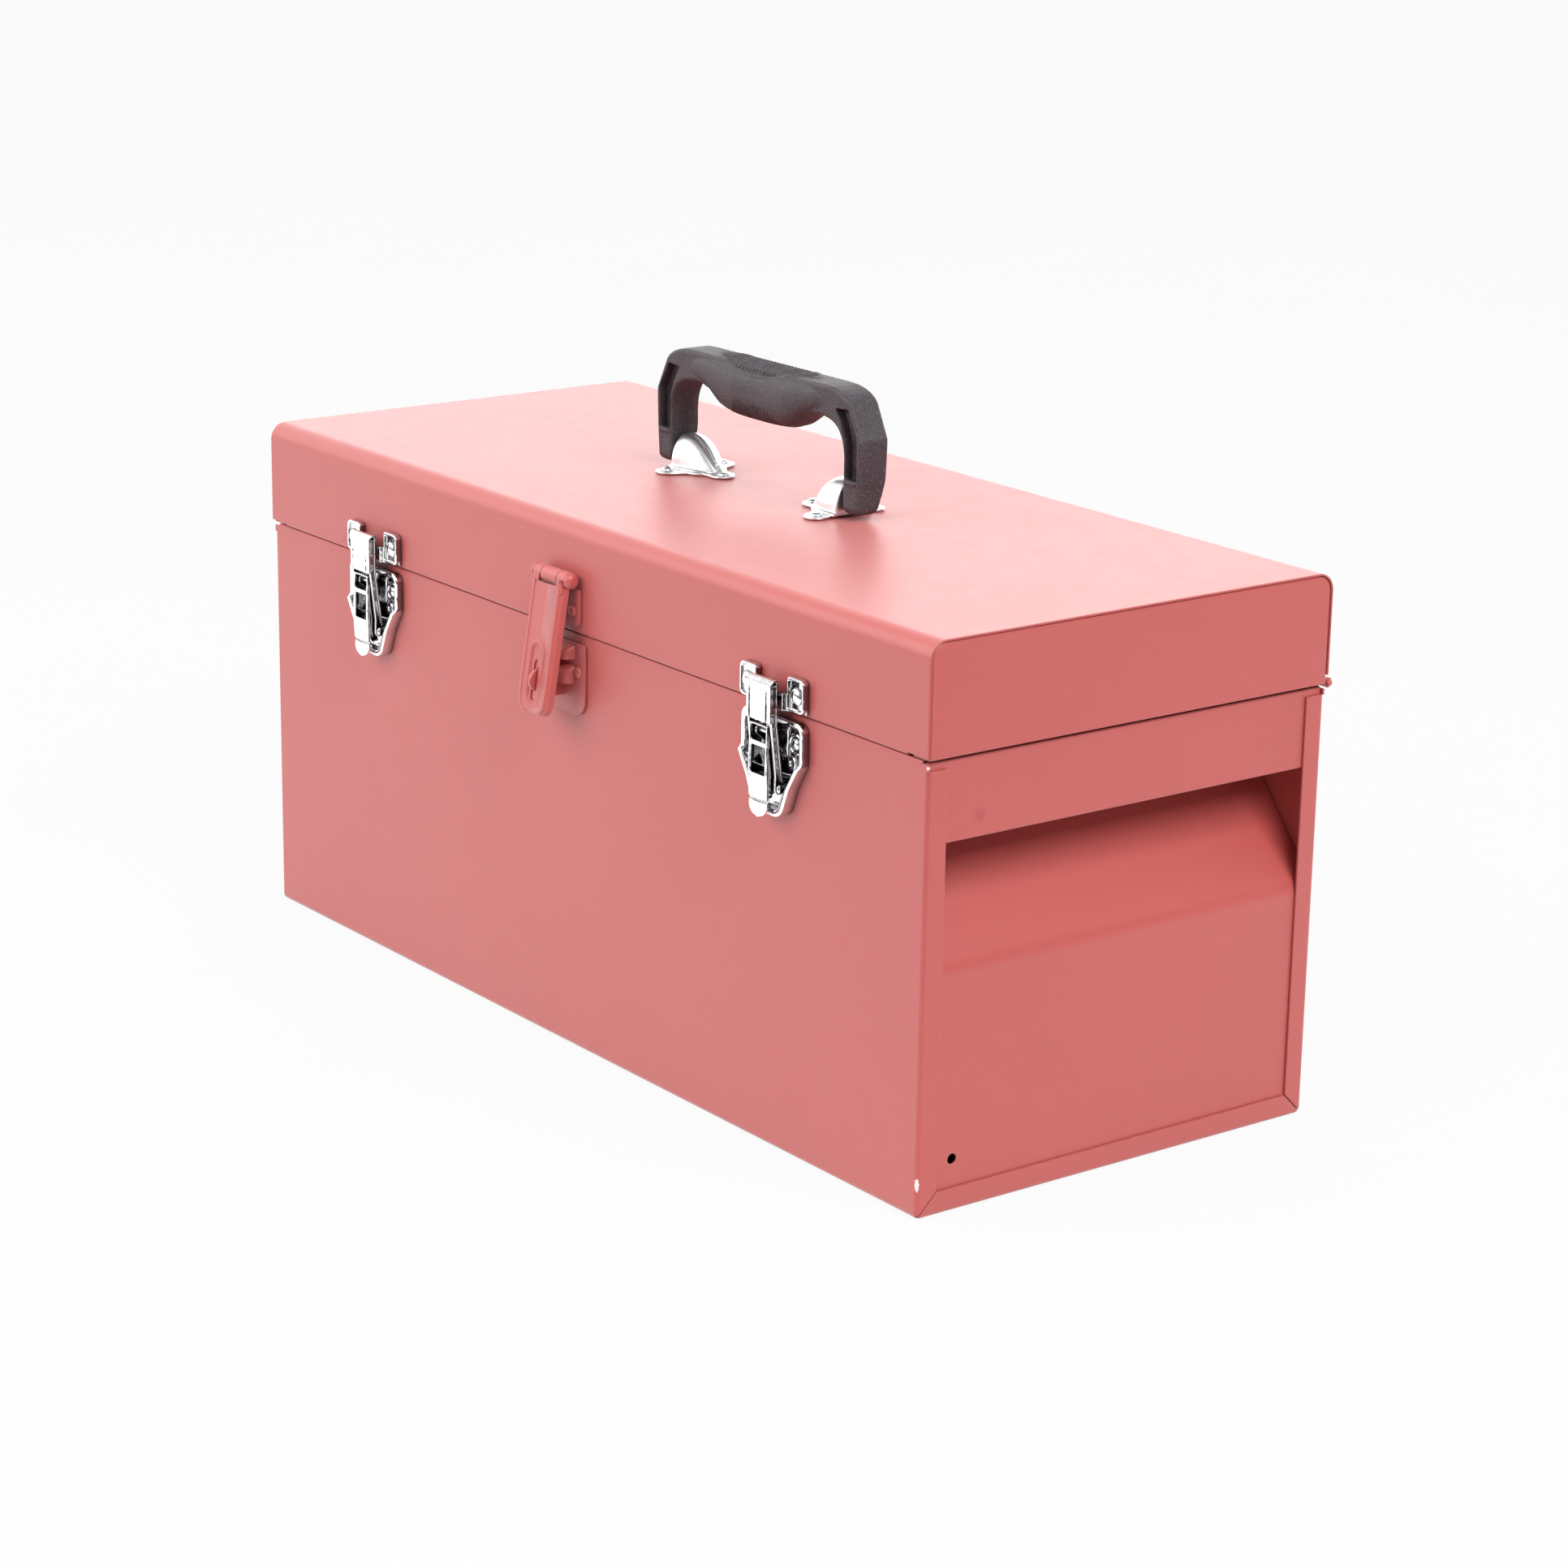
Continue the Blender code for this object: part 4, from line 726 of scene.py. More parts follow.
for side, word in ((-1, "left"), (1, "right")):
    panel = Shape().prism(ribbon([(side * x, z) for x, z in panel_path()], SHEET), along_y, -105.7, 105.7)
    hole = Shape().prism(disc(-88.0, 22.2, 2.25, 32), along_x, side * 240.0, side * 260.0)
    notch = Shape()
    for end in (-1, 1):
        notch.prism([(side * 239.0, 0.5), (side * 255.0, 0.5), (side * 255.0, 3.6), (side * 239.0, 3.6)], along_y, end * 103.4, end * 107.0)
    mesh = softened(carve(carve(panel, hole), notch), 0.14, 1)
    add_piece("end_panel_%s_pressed" % word, mesh, "box", ["end_panel_" + word], END_PAINT)
    band = Shape().prism(ribbon([(side * x, z) for x, z in band_path()], SHEET), along_y, -105.7, 105.7)
    add_piece("end_band_%s_folded" % word, softened(mesh_of(band), 0.14, 1), "box", ["end_band_" + word], END_PAINT)


# ---- piano hinge ------------------------------------------------------------------------------
def hinge_leaf(flip, half, owns):
    y0, z_near, z_far, drop = HINGE_Y - 2.4, -0.1, -0.1 - LEAF, 16.5
    inner_y = 104.3 if flip > 0 else 105.3

    def at(y, dz):
        return (y, HINGE_Z + flip * dz)
    tail = [at(y0, z_far)] + [at(*p) for p in arc(inner_y + LEAF / 2 + 0.5, z_far - 0.5, 0.5, 90, 180, 30)] + [
        at(inner_y + LEAF / 2, -drop), at(inner_y - LEAF / 2, -drop)] + [at(*p) for p in arc(inner_y - LEAF / 2 + 1.0, z_near - 1.0, 1.0, 180, 90, 30)] + [at(y0, z_near)]
    r_in, r_out = HINGE_PIN + 0.08, HINGE_PIN + 0.08 + LEAF
    curl = []
    a_out = math.degrees(math.asin(z_far / r_out))
    for u, v in arc(HINGE_Y, 0.0, r_out, 180 - a_out, 525, 12):
        curl.append(at(u, v))
    a_in = math.degrees(math.asin(z_near / r_in))
    for u, v in arc(HINGE_Y, 0.0, r_in, 525, 180 - a_in, 12):
        curl.append(at(u, v))
    s, pitch, cuts, own = Shape(), 2 * 252.4 / KNUCKLES, {-half, half}, []
    for k in range(KNUCKLES):
        if (k % 2 == 0) == owns:
            lo, hi = -252.4 + k * pitch + 0.15, -252.4 + (k + 1) * pitch - 0.15
            lo, hi = max(lo, -half), min(hi, half)
            own.append((lo, hi))
            cuts |= {lo, hi}
    xs = sorted(cuts)
    for lo, hi in zip(xs, xs[1:]):
        for k in range(len(tail) - 1):
            s.face([(lo, *tail[k]), (lo, *tail[k + 1]), (hi, *tail[k + 1]), (hi, *tail[k])])
        if (lo, hi) in own:
            loop = [tail[0]] + curl + [tail[-1]]
            for k in range(len(loop) - 1):
                s.face([(lo, *loop[k]), (lo, *loop[k + 1]), (hi, *loop[k + 1]), (hi, *loop[k])])
            s.face([(lo, *p) for p in loop])
            s.face([(hi, *p) for p in loop])
        else:
            s.face([(lo, *tail[0]), (lo, *tail[-1]), (hi, *tail[-1]), (hi, *tail[0])])
    s.face([(xs[0], *p) for p in tail])
    s.face([(xs[-1], *p) for p in tail])
    return s


add_piece("hinge_leaf_body_rolled", mesh_of(hinge_leaf(1, 249.2, False)), "box", ["hinge_leaf_body"], SMALL_PAINT)
add_piece("hinge_leaf_lid_rolled", mesh_of(hinge_leaf(-1, 252.4, True)), "lid", ["hinge_leaf_lid"], SMALL_PAINT)
add_piece("hinge_pin_turned", Shape().spin([(0.0, -253.9), (0.8, -253.8), (1.25, -253.5), (HINGE_PIN, -253.0), (HINGE_PIN, 253.0), (1.25, 253.5), (0.8, 253.8), (0.0, 253.9)],
          lambda u, v, w: (w, HINGE_Y + u, HINGE_Z + v), 32), "box", ["hinge_pin"], SMALL_PAINT)


# ---- rivets --------------------------------------------------------------------------------------
def rivet(place, grip, head=2.6, high=1.5, sides=32):
    dome = [(0.0, high)]
    for k in range(1, 9):
        a = math.radians(90 - k * 10.6)
        dome.append((head * math.cos(a) * 0.985, 0.1 + (high - 0.1) * math.sin(a)))
    dome += [(head, 0.28), (head, 0.1), (1.5, 0.1), (1.5, -grip - 0.1), (head * 0.92, -grip - 0.1), (head * 0.95, -grip - 0.35),
             (head * 0.86, -grip - 0.8), (head * 0.55, -grip - 1.02), (0.9, -grip - 1.05), (0.5, -grip - 0.75), (0.0, -grip - 0.7)]
    return Shape().spin(dome, place, sides)


def front(xc):
    return lambda u, v, w: (xc + u, -BOX_Y - w, v)


def side_view(xc):
    return lambda u, v, w: (xc + w, -BOX_Y - u, v)


def f2(xc):
    return lambda u, v, w: (xc + u, -BOX_Y - v, w)


def front_rivet(name, x, z, out, inner_y, body, mat, head=2.6, high=1.5):
    s = rivet(lambda u, v, w: (x + u, -BOX_Y - out - w, z + v), BOX_Y + out - inner_y, head, high)
    add_piece(name + "_set", s, body, [name], mat)
    HOLES["lid" if body == "lid" else "body"].append(Shape().prism([(x + u, z + v) for u, v in disc(0, 0, RIVET_HOLE, 24)], along_y, -BOX_Y - 3.0, -BOX_Y + 4.0))


# ---- draw latches ------------------------------------------------------------------------------------
def plate_loop(d=0.0):
    w, f, b = 21.0 - d, 9.3 - 0.9 * d, 14.6 - 0.95 * d
    return rounded_loop([
        (-w, 190.0 - d, max(0.5, 4.6 - d)), (-w, 172.0, 5.0), (-b, 161.6, 14.0), (-f, 148.0 + d, max(1.2, 6.6 - d)),
        (f, 148.0 + d, max(1.2, 6.6 - d)), (b, 161.6, 14.0), (w, 172.0, 5.0), (w, 190.0 - d, max(0.5, 4.6 - d)),
    ], -8)


def rim_height(v):
    """The base's rim: low along the shoulders, full and round down the taper."""
    t = max(0.0, min(1.0, (173.6 - v) / 3.2))
    t = t * t * (3 - 2 * t)
    return 3.9 + 2.2 * t


def ring_boss(place_uv, r_in, r_out, base, high, place, sides=36):
    """A raised ring pressed round a rivet."""
    prof, mid, half = [], (r_in + r_out) / 2, (r_out - r_in) / 2
    prof.append((r_in, base - 0.4))
    for k in range(9):
        a = math.pi - math.pi * k / 8
        prof.append((mid + half * math.cos(a), base + high * math.sin(a)))
    prof.append((r_out, base - 0.4))
    rings = [[place(place_uv[0] + r * math.cos(2 * math.pi * k / sides), place_uv[1] + r * math.sin(2 * math.pi * k / sides), h) for k in range(sides)] for r, h in prof]
    s = Shape()
    for a, b in zip(rings, rings[1:] + rings[:1]):
        for i in range(sides):
            j = (i + 1) % sides
            s.face([a[i], a[j], b[j], b[i]])
    return s


def latch(xc, word):
    f, g = front(xc), side_view(xc)
    # base plate: dished floor, a full round rim, ring bosses and two ears
    steps = [(0.0, 0.3, 0), (0.0, 1.0, 0), (0.0, -0.65, 1), (0.14, -0.3, 1), (0.5, -0.06, 1), (1.2, 0.0, 1), (2.0, -0.06, 1), (2.6, -0.34, 1), (2.9, -0.9, 1), (3.1, 1.5, 0), (3.45, 1.26, 0), (4.0, 1.2, 0)]
    rings = []
    for d, h, rel in steps:
        rings.append([f(u, v, max(1.2, rim_height(v) + h) if rel else h) for u, v in plate_loop(d)])
    base = mesh_of(Shape().loft(rings))
    ears = []
    for side in (-1, 1):
        ear = [(0.8, 174.5), (0.8, 179.4), (3.4, 182.3)] + arc(LATCH_P[0], LATCH_P[1], 2.5, 165, -60, 15)
        ears.append(Shape().prism(ear, g, side * 3.4, side * 4.4, 0.18))
        # raised welt along the plate's shoulder
        ears.append(Shape().tube([f(side * u, v, 1.3) for u, v in ((16.9, 185.6), (15.6, 187.2), (12.5, 187.9), (9.5, 187.2), (8.2, 184.8), (8.6, 181.0), (7.8, 177.4), (8.4, 174.0))], [0.5, 0.8, 0.9, 0.9, 0.9, 0.9, 0.8, 0.5], 12))
    bosses = [ring_boss((side * 14.0, 180.2), 3.1, 4.9, 1.2, 1.0, f) for side in (-1, 1)]
    bosses += [ring_boss((side * 11.6, 171.6), 0.9, 3.2, 1.15, 0.9, f) for side in (-1, 1)]
    # step across the floor where the deep foot begins
    step = Shape().tube([f(-16.8, 172.6, 1.25), f(-13.0, 166.6, 1.25), f(-8.0, 165.6, 1.25), f(0.0, 165.2, 1.25), f(8.0, 165.6, 1.25), f(13.0, 166.6, 1.25), f(16.8, 172.6, 1.25)], 0.85, 14)
    base = union(base, *ears)
    base = union(base, *bosses)
    base = union(base, step)
    bore = Shape().prism(disc(LATCH_P[0], LATCH_P[1], LATCH_PIN + 0.09, 24), g, -5.2, 5.2)
    holes = Shape()
    for side in (-1, 1):
        holes.prism([(xc + side * 14.0 + u, 180.2 + v) for u, v in disc(0, 0, RIVET_HOLE, 24)], along_y, -BOX_Y - 3.0, -BOX_Y + 1.0)
    base = carve(base, bore, holes)
    add_piece("latch_base_%s_pressed" % word, base, "box", ["latch_base_" + word], CHROME)
    for side, n in ((-1, 1), (1, 2)):
        front_rivet("latch_base_%s_rivet_%d" % (word, n), xc + side * 14.0, 180.2, 1.2, 106.1, "box", CHROME)
    add_piece("latch_pivot_%s_turned" % word, Shape().spin([(0.0, -6.75), (0.75, -6.7), (1.05, -6.5), (LATCH_PIN, -6.2), (LATCH_PIN, 6.2), (1.05, 6.5), (0.75, 6.7), (0.0, 6.75)],
              lambda u, v, w: (xc + w, -BOX_Y - LATCH_P[0] - u, LATCH_P[1] + v), 28), "box", ["latch_pivot_" + word], CHROME)

    # keeper: stepped bridge, lip and two rimmed ears
    low = 194.0
    path = rounded([(-21.5, 1.75), (-15.4, 1.75, 0.35), (-14.6, 2.55, 0.35), (-13.5, 2.55, 0.35), (-12.7, 3.35, 0.35), (-11.7, 3.35, 0.35), (-10.9, 4.2, 0.35), (-9.9, 4.2, 0.35), (-9.2, 5.2, 0.5),
                    (9.2, 5.2, 0.5), (9.9, 4.2, 0.35), (10.9, 4.2, 0.35), (11.7, 3.35, 0.35), (12.7, 3.35, 0.35), (13.5, 2.55, 0.35), (14.6, 2.55, 0.35), (15.4, 1.75, 0.35), (21.5, 1.75)], 22.5)
    bridge = mesh_of(Shape().prism(ribbon(path, SHEET), f2(xc), low, 201.2, 0.12))
    more = []
    for side in (-1, 1):
        ear = rounded_loop([(side * 10.4, 194.2, 1.8), (side * 10.4, 208.6, 1.8), (side * 21.7, 208.6, 2.6), (side * 21.7, 194.2, 2.6)], 15)
        more.append(Shape().rings(ear, f, [(0.2, 1.3), (0.0, 1.5), (0.0, 3.9), (0.12, 4.2), (0.4, 4.4), (0.8, 4.4), (1.1, 4.2), (1.3, 3.6), (1.5, 3.4)]))
    more.append(Shape().prism([(4.9, 199.6), (6.15, 200.4), (6.15, 201.2), (4.9, 201.2)], g, -8.6, 8.6))
    keeper = union(bridge, *more)
    holes = Shape()
    for side in (-1, 1):
        holes.prism([(xc + side * 16.6 + u, 201.2 + v) for u, v in disc(0, 0, RIVET_HOLE, 24)], along_y, -BOX_Y - 6.0, -BOX_Y - 0.5)
    keeper = carve(keeper, holes)
    add_piece("latch_keeper_%s_pressed" % word, keeper, "lid", ["latch_keeper_" + word], CHROME)
    for side, n in ((-1, 1), (1, 2)):
        front_rivet("latch_keeper_%s_rivet_%d" % (word, n), xc + side * 16.6, 201.2, 3.4, 105.9, "lid", CHROME, 3.7, 2.0)

    # lever: channel with two windows, raised edges and a finger tongue
    web = rounded([(9.8, 187.0), (10.1, 170.0, 20.0), (9.9, 156.4, 2.0), (9.6, 154.2, 3.0), (10.1, 147.6)], 6)
    lever = mesh_of(Shape().prism(ribbon(web, 1.0), g, -6.2, 6.2))
    cheek = rounded_loop([(9.9, 187.0), (6.0, 187.0, 1.5), (4.4, 182.0, 3.0), (4.4, 170.0, 6.0), (2.9, 162.0, 2.5), (3.6, 159.4, 2.0), (9.7, 157.0)], 15)
    lever = union(lever, *[Shape().prism(cheek, g, side * 5.3, side * 6.15) for side in (-1, 1)])
    windows = Shape()
    for lo, hi, top, bot in ((179.7, 186.3, 5.15, 5.15), (165.8, 177.7, 4.8, 4.9)):
        windows.prism(rounded_loop([(-top, hi, 0.6), (-bot, lo, 0.6), (bot, lo, 0.6), (top, hi, 0.6)], 22.5), f, 7.6, 11.6)
    corner = Shape()
    for side in (-1, 1):
        corner.prism([(side * 6.9, 146.0), (side * 6.9, 153.4)] + [(side * (0.9 + 5.35 * math.cos(math.radians(a))), 153.4 - 5.35 * math.sin(math.radians(a))) for a in range(0, 91, 9)] + [(side * 0.5, 146.0)], f, 6.5, 13.5)
    bores = Shape()
    bores.prism(disc(LATCH_P[0], LATCH_P[1], LATCH_PIN + 0.09, 24), g, -7.0, 7.0)
    bores.prism(disc(LATCH_Q[0], LATCH_Q[1], LATCH_PIN + 0.09, 24), g, -7.0, 7.0)
    rails = [Shape().tube([f(side * 5.7, 186.6, 10.15), f(side * 5.7, 178.0, 10.2), f(side * 5.65, 170.0, 10.45), f(side * 5.6, 163.0, 10.4), f(side * 5.5, 157.0, 10.3)], [0.45, 0.55, 0.6, 0.6, 0.4], 10) for side in (-1, 1)]
    crease = Shape().tube([f(u, 154.6 + 0.012 * u * u, 10.12) for u in (-6.9, -4.0, -2.0, 0.0, 2.0, 4.0, 6.9)], 0.7, 12)
    lever = union(carve(softened(carve(lever, windows, corner), 0.26, 2, 40), crease), *rails)
    lever = carve(lever, bores)
    add_piece("latch_lever_%s_pressed" % word, lever, "lever_" + word, ["latch_lever_" + word], CHROME)
    add_piece("latch_hook_pin_%s_turned" % word, Shape().spin([(0.0, -9.6), (1.3, -9.5), (1.9, -9.1), (2.0, -8.6), (LATCH_PIN, -8.55), (LATCH_PIN, 8.55), (2.0, 8.6), (1.9, 9.1), (1.3, 9.5), (0.0, 9.6)],
              lambda u, v, w: (xc + w, -BOX_Y - LATCH_Q[0] - u, LATCH_Q[1] + v), 28), "lever_" + word, ["latch_hook_pin_" + word], CHROME)

    # draw hook: curled cover between two grooved side bars
    web = rounded([(10.3, 188.6), (10.3, 206.2, 2.0), (7.2, 206.2, 1.0), (7.2, 203.4)], 10)
    hook = softened(mesh_of(Shape().prism(ribbon(web, 1.0), g, -8.2, 8.2)), 0.28, 2, 50)
    bars = []
    for side in (-1, 1):
        bar = [(10.1, 204.6), (7.0, 204.6), (6.9, 188.0), (3.9, 166.0)] + arc(LATCH_Q[0], LATCH_Q[1], 2.5, 170, 370, 12) + [(7.5, 166.0), (10.1, 188.7)]
        s0, s1 = side * 7.0, side * 8.2
        o = side
        bars.append(Shape().rings(bar, g, [(0.15, s0), (0.0, s0 + o * 0.15), (0.0, s1 - o * 0.2), (0.08, s1 - o * 0.06), (0.22, s1), (0.62, s1), (0.8, s1 - o * 0.08), (0.95, s1 - o * 0.8)]))
    flutes = [Shape().tube([f(side * 5.7, v, 11.0 if v < 203 else 10.9) for v in (187.6, 191.0, 196.0, 201.0, 204.6)], [0.9, 0.9, 0.9, 0.85, 0.5], 12) for side in (-1, 1)]
    hook = carve(union(hook, *bars), *flutes)
    hook = carve(hook, Shape().prism(disc(LATCH_Q[0], LATCH_Q[1], LATCH_PIN + 0.09, 24), g, -9.5, 9.5))
    add_piece("latch_hook_%s_pressed" % word, hook, "hook_" + word, ["latch_hook_" + word], CHROME)


latch(-LATCH_X, "left")
latch(LATCH_X, "right")

# ---- hasp -----------------------------------------------------------------------------------------------
f, g = front(0.0), side_view(0.0)
KD, KZ = HASP_K
R_OUT, R_IN = 3.6, 2.1
leaf = Shape().prism(rounded_loop([
    (-14.4, 196.0, 3.2), (14.4, 196.0, 3.2), (14.4, 212.6, 0.0), (6.0, 212.6, 0.0), (6.0, 217.4, 0.0), (-6.0, 217.4, 0.0), (-6.0, 212.6, 0.0), (-14.4, 212.6, 0.0)], 10),
    f, 1.3, 2.8)
leaf = union(leaf, Shape().prism(ribbon(arc(KD, KZ, (R_OUT + R_IN) / 2, 190, -150, 10), R_OUT - R_IN), g, -5.98, 5.98))
leaf = softened(leaf, 0.2, 2, 40)
holes = Shape()
for side in (-1, 1):
    holes.prism([(side * 9.5 + u, 203.0 + v) for u, v in disc(0, 0, RIVET_HOLE, 24)], along_y, -BOX_Y - 4.0, -BOX_Y - 0.5)
add_piece("hasp_leaf_rolled", carve(leaf, holes), "lid", ["hasp_leaf"], SMALL_PAINT)
for side, n in ((-1, 1), (1, 2)):
    front_rivet("hasp_leaf_rivet_%d" % n, side * 9.5, 203.0, 2.8, 105.9, "lid", SMALL_PAINT)
add_piece("hasp_pin_headed", Shape().spin(
    [(0.0, -14.8), (1.2, -14.7), (2.2, -14.4), (3.0, -13.85), (3.45, -13.2), (3.6, -12.25), (2.0, -12.25), (2.0, 12.25), (3.6, 12.25), (3.45, 13.2), (3.0, 13.85), (2.2, 14.4), (1.2, 14.7), (0.0, 14.8)],
    lambda u, v, w: (w, -BOX_Y - KD - u, KZ + v), 36), "lid", ["hasp_pin"], SMALL_PAINT)


def tilt(u, out, up):
    do, dz = out - KD, up - KZ
    c, s = math.cos(HASP_TILT), math.sin(HASP_TILT)
    return (u, -BOX_Y - (KD + do * c - dz * s), KZ + do * s + dz * c)


STRAP_MID = KD + (R_OUT + R_IN) / 2


def strap_ring(width, deep, up, sink=0.0, flat=1.0):
    """A pressed channel: flat middle, a small raised bead, then flanges that lean back."""
    top = STRAP_MID - sink
    path = rounded([(-width, top - deep), (-width + 0.7, top - 0.95, 0.35), (-width + 1.7, top - 0.15, 0.3), (-width + 2.1, top + 0.42, 0.25), (-width + 2.8, top + 0.42, 0.25), (-width + 3.2, top, 0.25), (0.0, top),
                    (width - 3.2, top, 0.25), (width - 2.8, top + 0.42, 0.25), (width - 2.1, top + 0.42, 0.25), (width - 1.7, top - 0.15, 0.3), (width - 0.7, top - 0.95, 0.35), (width, top - deep)], -3)
    return [tilt(u, o, up) for u, o in ribbon(path, R_OUT - R_IN)]


low = KZ - HASP_LONG
rows = [(11.8, 3.0, 213.75, 0.0), (11.8, 3.0, 209.0, 0.0), (11.8, 3.0, low + 9.0, 0.0), (11.65, 3.0, low + 6.6, 0.0), (11.2, 2.95, low + 4.4, 0.0), (10.5, 2.85, low + 2.7, 0.05),
        (9.5, 2.7, low + 1.35, 0.22), (8.4, 2.4, low + 0.55, 0.6), (7.4, 2.0, low + 0.15, 1.15), (6.5, 1.7, low, 1.9)]
strap = mesh_of(Shape().loft([strap_ring(w, d, up, sink) for w, d, up, sink in rows]))
rings = []
for side in (-1, 1):
    ring = ribbon(arc(KD, KZ, (R_OUT + R_IN) / 2, -10, 330, 10), R_OUT - R_IN)
    rings.append(softened(mesh_of(Shape().prism(ring, lambda u, v, w: tilt(w, u, v), side * 6.3, side * 11.95)), 0.22, 2, 50))
    joinp = [(KD + R_IN + 0.2, 211.0), (KD + R_OUT - 0.02, 211.0), (KD + R_OUT - 0.02, 217.2), (KD + R_IN + 0.2, 217.2)]
    rings.append(Shape().prism(joinp, lambda u, v, w: tilt(w, u, v), min(side * 6.8, side * 11.55), max(side * 6.8, side * 11.55)))
strap = union(strap, *rings)
# pressed welt: an arch from above the slot down both of its sides
TOPF = STRAP_MID + (R_OUT - R_IN) / 2
arch = [(-4.9, 160.0 + 3.0 * k) for k in range(8)] + [(4.9 * math.cos(math.radians(a)), 182.6 + 5.2 * math.sin(math.radians(a))) for a in range(180, -1, -12)] + [(4.9, 181.0 - 3.0 * k) for k in range(8)]
arch = [p for i, p in enumerate(arch) if i == 0 or math.dist(p, arch[i - 1]) > 0.2]
ramp = [min(1.0, 0.45 + 0.12 * min(i, len(arch) - 1 - i)) for i in range(len(arch))]
welt = Shape().tube([tilt(u, TOPF - 0.26, v) for u, v in arch], [0.74 * r for r in ramp], 12)
dish = Shape().prism(rounded_loop([(-3.7, 159.8, 3.2), (3.7, 159.8, 3.2), (3.7, 186.2, 3.6), (-3.7, 186.2, 3.6)], 12), lambda u, v, w: tilt(u, w, v), TOPF - 0.35, TOPF + 1.0, 0.3)
strap = carve(strap, dish)
strap = union(strap, welt)
slot = Shape().prism(rounded_loop([(-1.8, 161.2, 1.7), (1.8, 161.2, 1.7), (1.8, 179.6, 1.7), (-1.8, 179.6, 1.7)], 15), lambda u, v, w: tilt(u, w, v), KD - 1.0, KD + 6.0)
strap = carve(strap, slot)
add_piece("hasp_strap_pressed", strap, "hasp_strap", ["hasp_strap"], SMALL_PAINT)

# the staple plate: two pressed shelves and a loop behind the slot
plate = Shape().prism(rounded_loop([(-17.0, 188.0, 1.5), (-17.0, 155.5, 8.0), (17.0, 155.5, 8.0), (17.0, 188.0, 1.5)], 9), f, 0.3, 1.5, 0.3)
more = []
for lo, hi in ((180.9, 187.3), (170.0, 178.3)):
    # a louvre: its face slopes out and down to a lip, and its ends draw in
    rings = []
    for u, r in ((-9.6, 1.0), (-9.3, 2.4), (-8.8, 4.2), (-8.0, 5.8), (-6.9, 6.6), (-6.2, 6.8), (6.2, 6.8), (6.9, 6.6), (8.0, 5.8), (8.8, 4.2), (9.3, 2.4), (9.6, 1.0)):
        rings.append([g(o, z, u) for o, z in ((0.7, hi), (0.7 + (r - 0.7) * 0.5, hi - (hi - lo - 1.2) * 0.16), (0.7 + (r - 0.7) * 0.82, hi - (hi - lo - 1.2) * 0.34), (r - 0.12, hi - (hi - lo - 1.2) * 0.62), (r, lo + 0.9), (r - 0.08, lo + 0.1), (r - 0.25, lo), (0.7, lo))])
    more.append(Shape().loft(rings))
loop = [(0.8, 163.0)] + [(0.9 + 18.6 * math.cos(a), 171.2 + 8.3 * math.sin(a)) for a in [math.radians(-80 + 8 * k) for k in range(21)]] + [(0.8, 179.4)]
more.append(Shape().prism(loop, g, -0.9, 0.9, 0.3))
staple = union(plate, *more)
staple = carve(staple, Shape().prism([(11.4 + 2.9 * math.cos(a), 172.2 + 3.6 * math.sin(a)) for a in [math.radians(15 * k) for k in range(24)]], g, -2.0, 2.0))
holes = Shape()
for side in (-1, 1):
    holes.prism([(side * 12.6 + u, 175.6 + v) for u, v in disc(0, 0, RIVET_HOLE, 24)], along_y, -BOX_Y - 2.5, -BOX_Y + 1.0)
staple = carve(staple, holes)
add_piece("hasp_staple_plate_pressed", staple, "box", ["hasp_staple_plate"], SMALL_PAINT)
for side, n in ((-1, 1), (1, 2)):
    front_rivet("hasp_staple_rivet_%d" % n, side * 12.6, 175.6, 1.5, 106.1, "box", SMALL_PAINT)


# ---- handle brackets ----------------------------------------------------------------------------------------
def trefoil(side, grow=0.0, n=120):
    lobes = [(56.0, 15.2, 6.4), (56.0, -15.2, 6.4), (35.5, 0.0, 6.4), (50.0, 0.0, 11.0)]
    cx, radii = 49.0, []
    for k in range(n):
        a = 2 * math.pi * k / n
        dx, dy = math.cos(a), math.sin(a)
        best = 0.0
        for lx, ly, r in lobes:
            ox, oy = lx - cx, ly
            b = ox * dx + oy * dy
            q = b * b - (ox * ox + oy * oy - r * r)
            if q > 0:
                best = max(best, b + math.sqrt(q))
        radii.append(best)
    for _ in range(6):
        radii = [(radii[k - 1] + 2 * radii[k] + radii[(k + 1) % n]) / 4 for k in range(n)]
    return [(side * (cx + (radii[k] + grow) * math.cos(2 * math.pi * k / n)), GRIP_Y + (radii[k] + grow) * math.sin(2 * math.pi * k / n)) for k in range(n)]


LOBES = [(56.6, 15.6), (56.6, -15.6), (33.6, 0.0)]
HOOD = [(62.2, 9.6, 15.0), (60.4, 10.0, 15.5), (58.0, 10.2, 15.6), (55.0, 10.0, 15.4), (52.0, 9.5, 14.6), (49.0, 8.8, 13.1), (46.0, 7.8, 11.0), (43.5, 6.6, 8.5), (41.0, 5.1, 5.8), (39.2, 3.9, 3.7), (37.6, 2.6, 1.6)]


def hood_ring(side, x, w, h, thin, low):
    """A bell-shaped arch across Y: flanks that flare, and a narrow crown."""
    w, h = w - thin, h - thin
    pts = [(w, 0.0)]
    for k in range(25):
        a = math.pi * k / 24
        c, s = math.cos(a), math.sin(a)
        flare = abs(c) ** 0.78 * (1 if c >= 0 else -1)
        pts.append((w * flare * (0.98 - 0.12 * s), 0.16 + 0.82 * s ** 0.92 if s > 0 else 0.16))
    pts.append((-w, 0.0))
    return [(side * x, GRIP_Y + y, low if i in (0, len(pts) - 1) else LID_TOP + 1.5 + h * k) for i, (y, k) in enumerate(pts)]


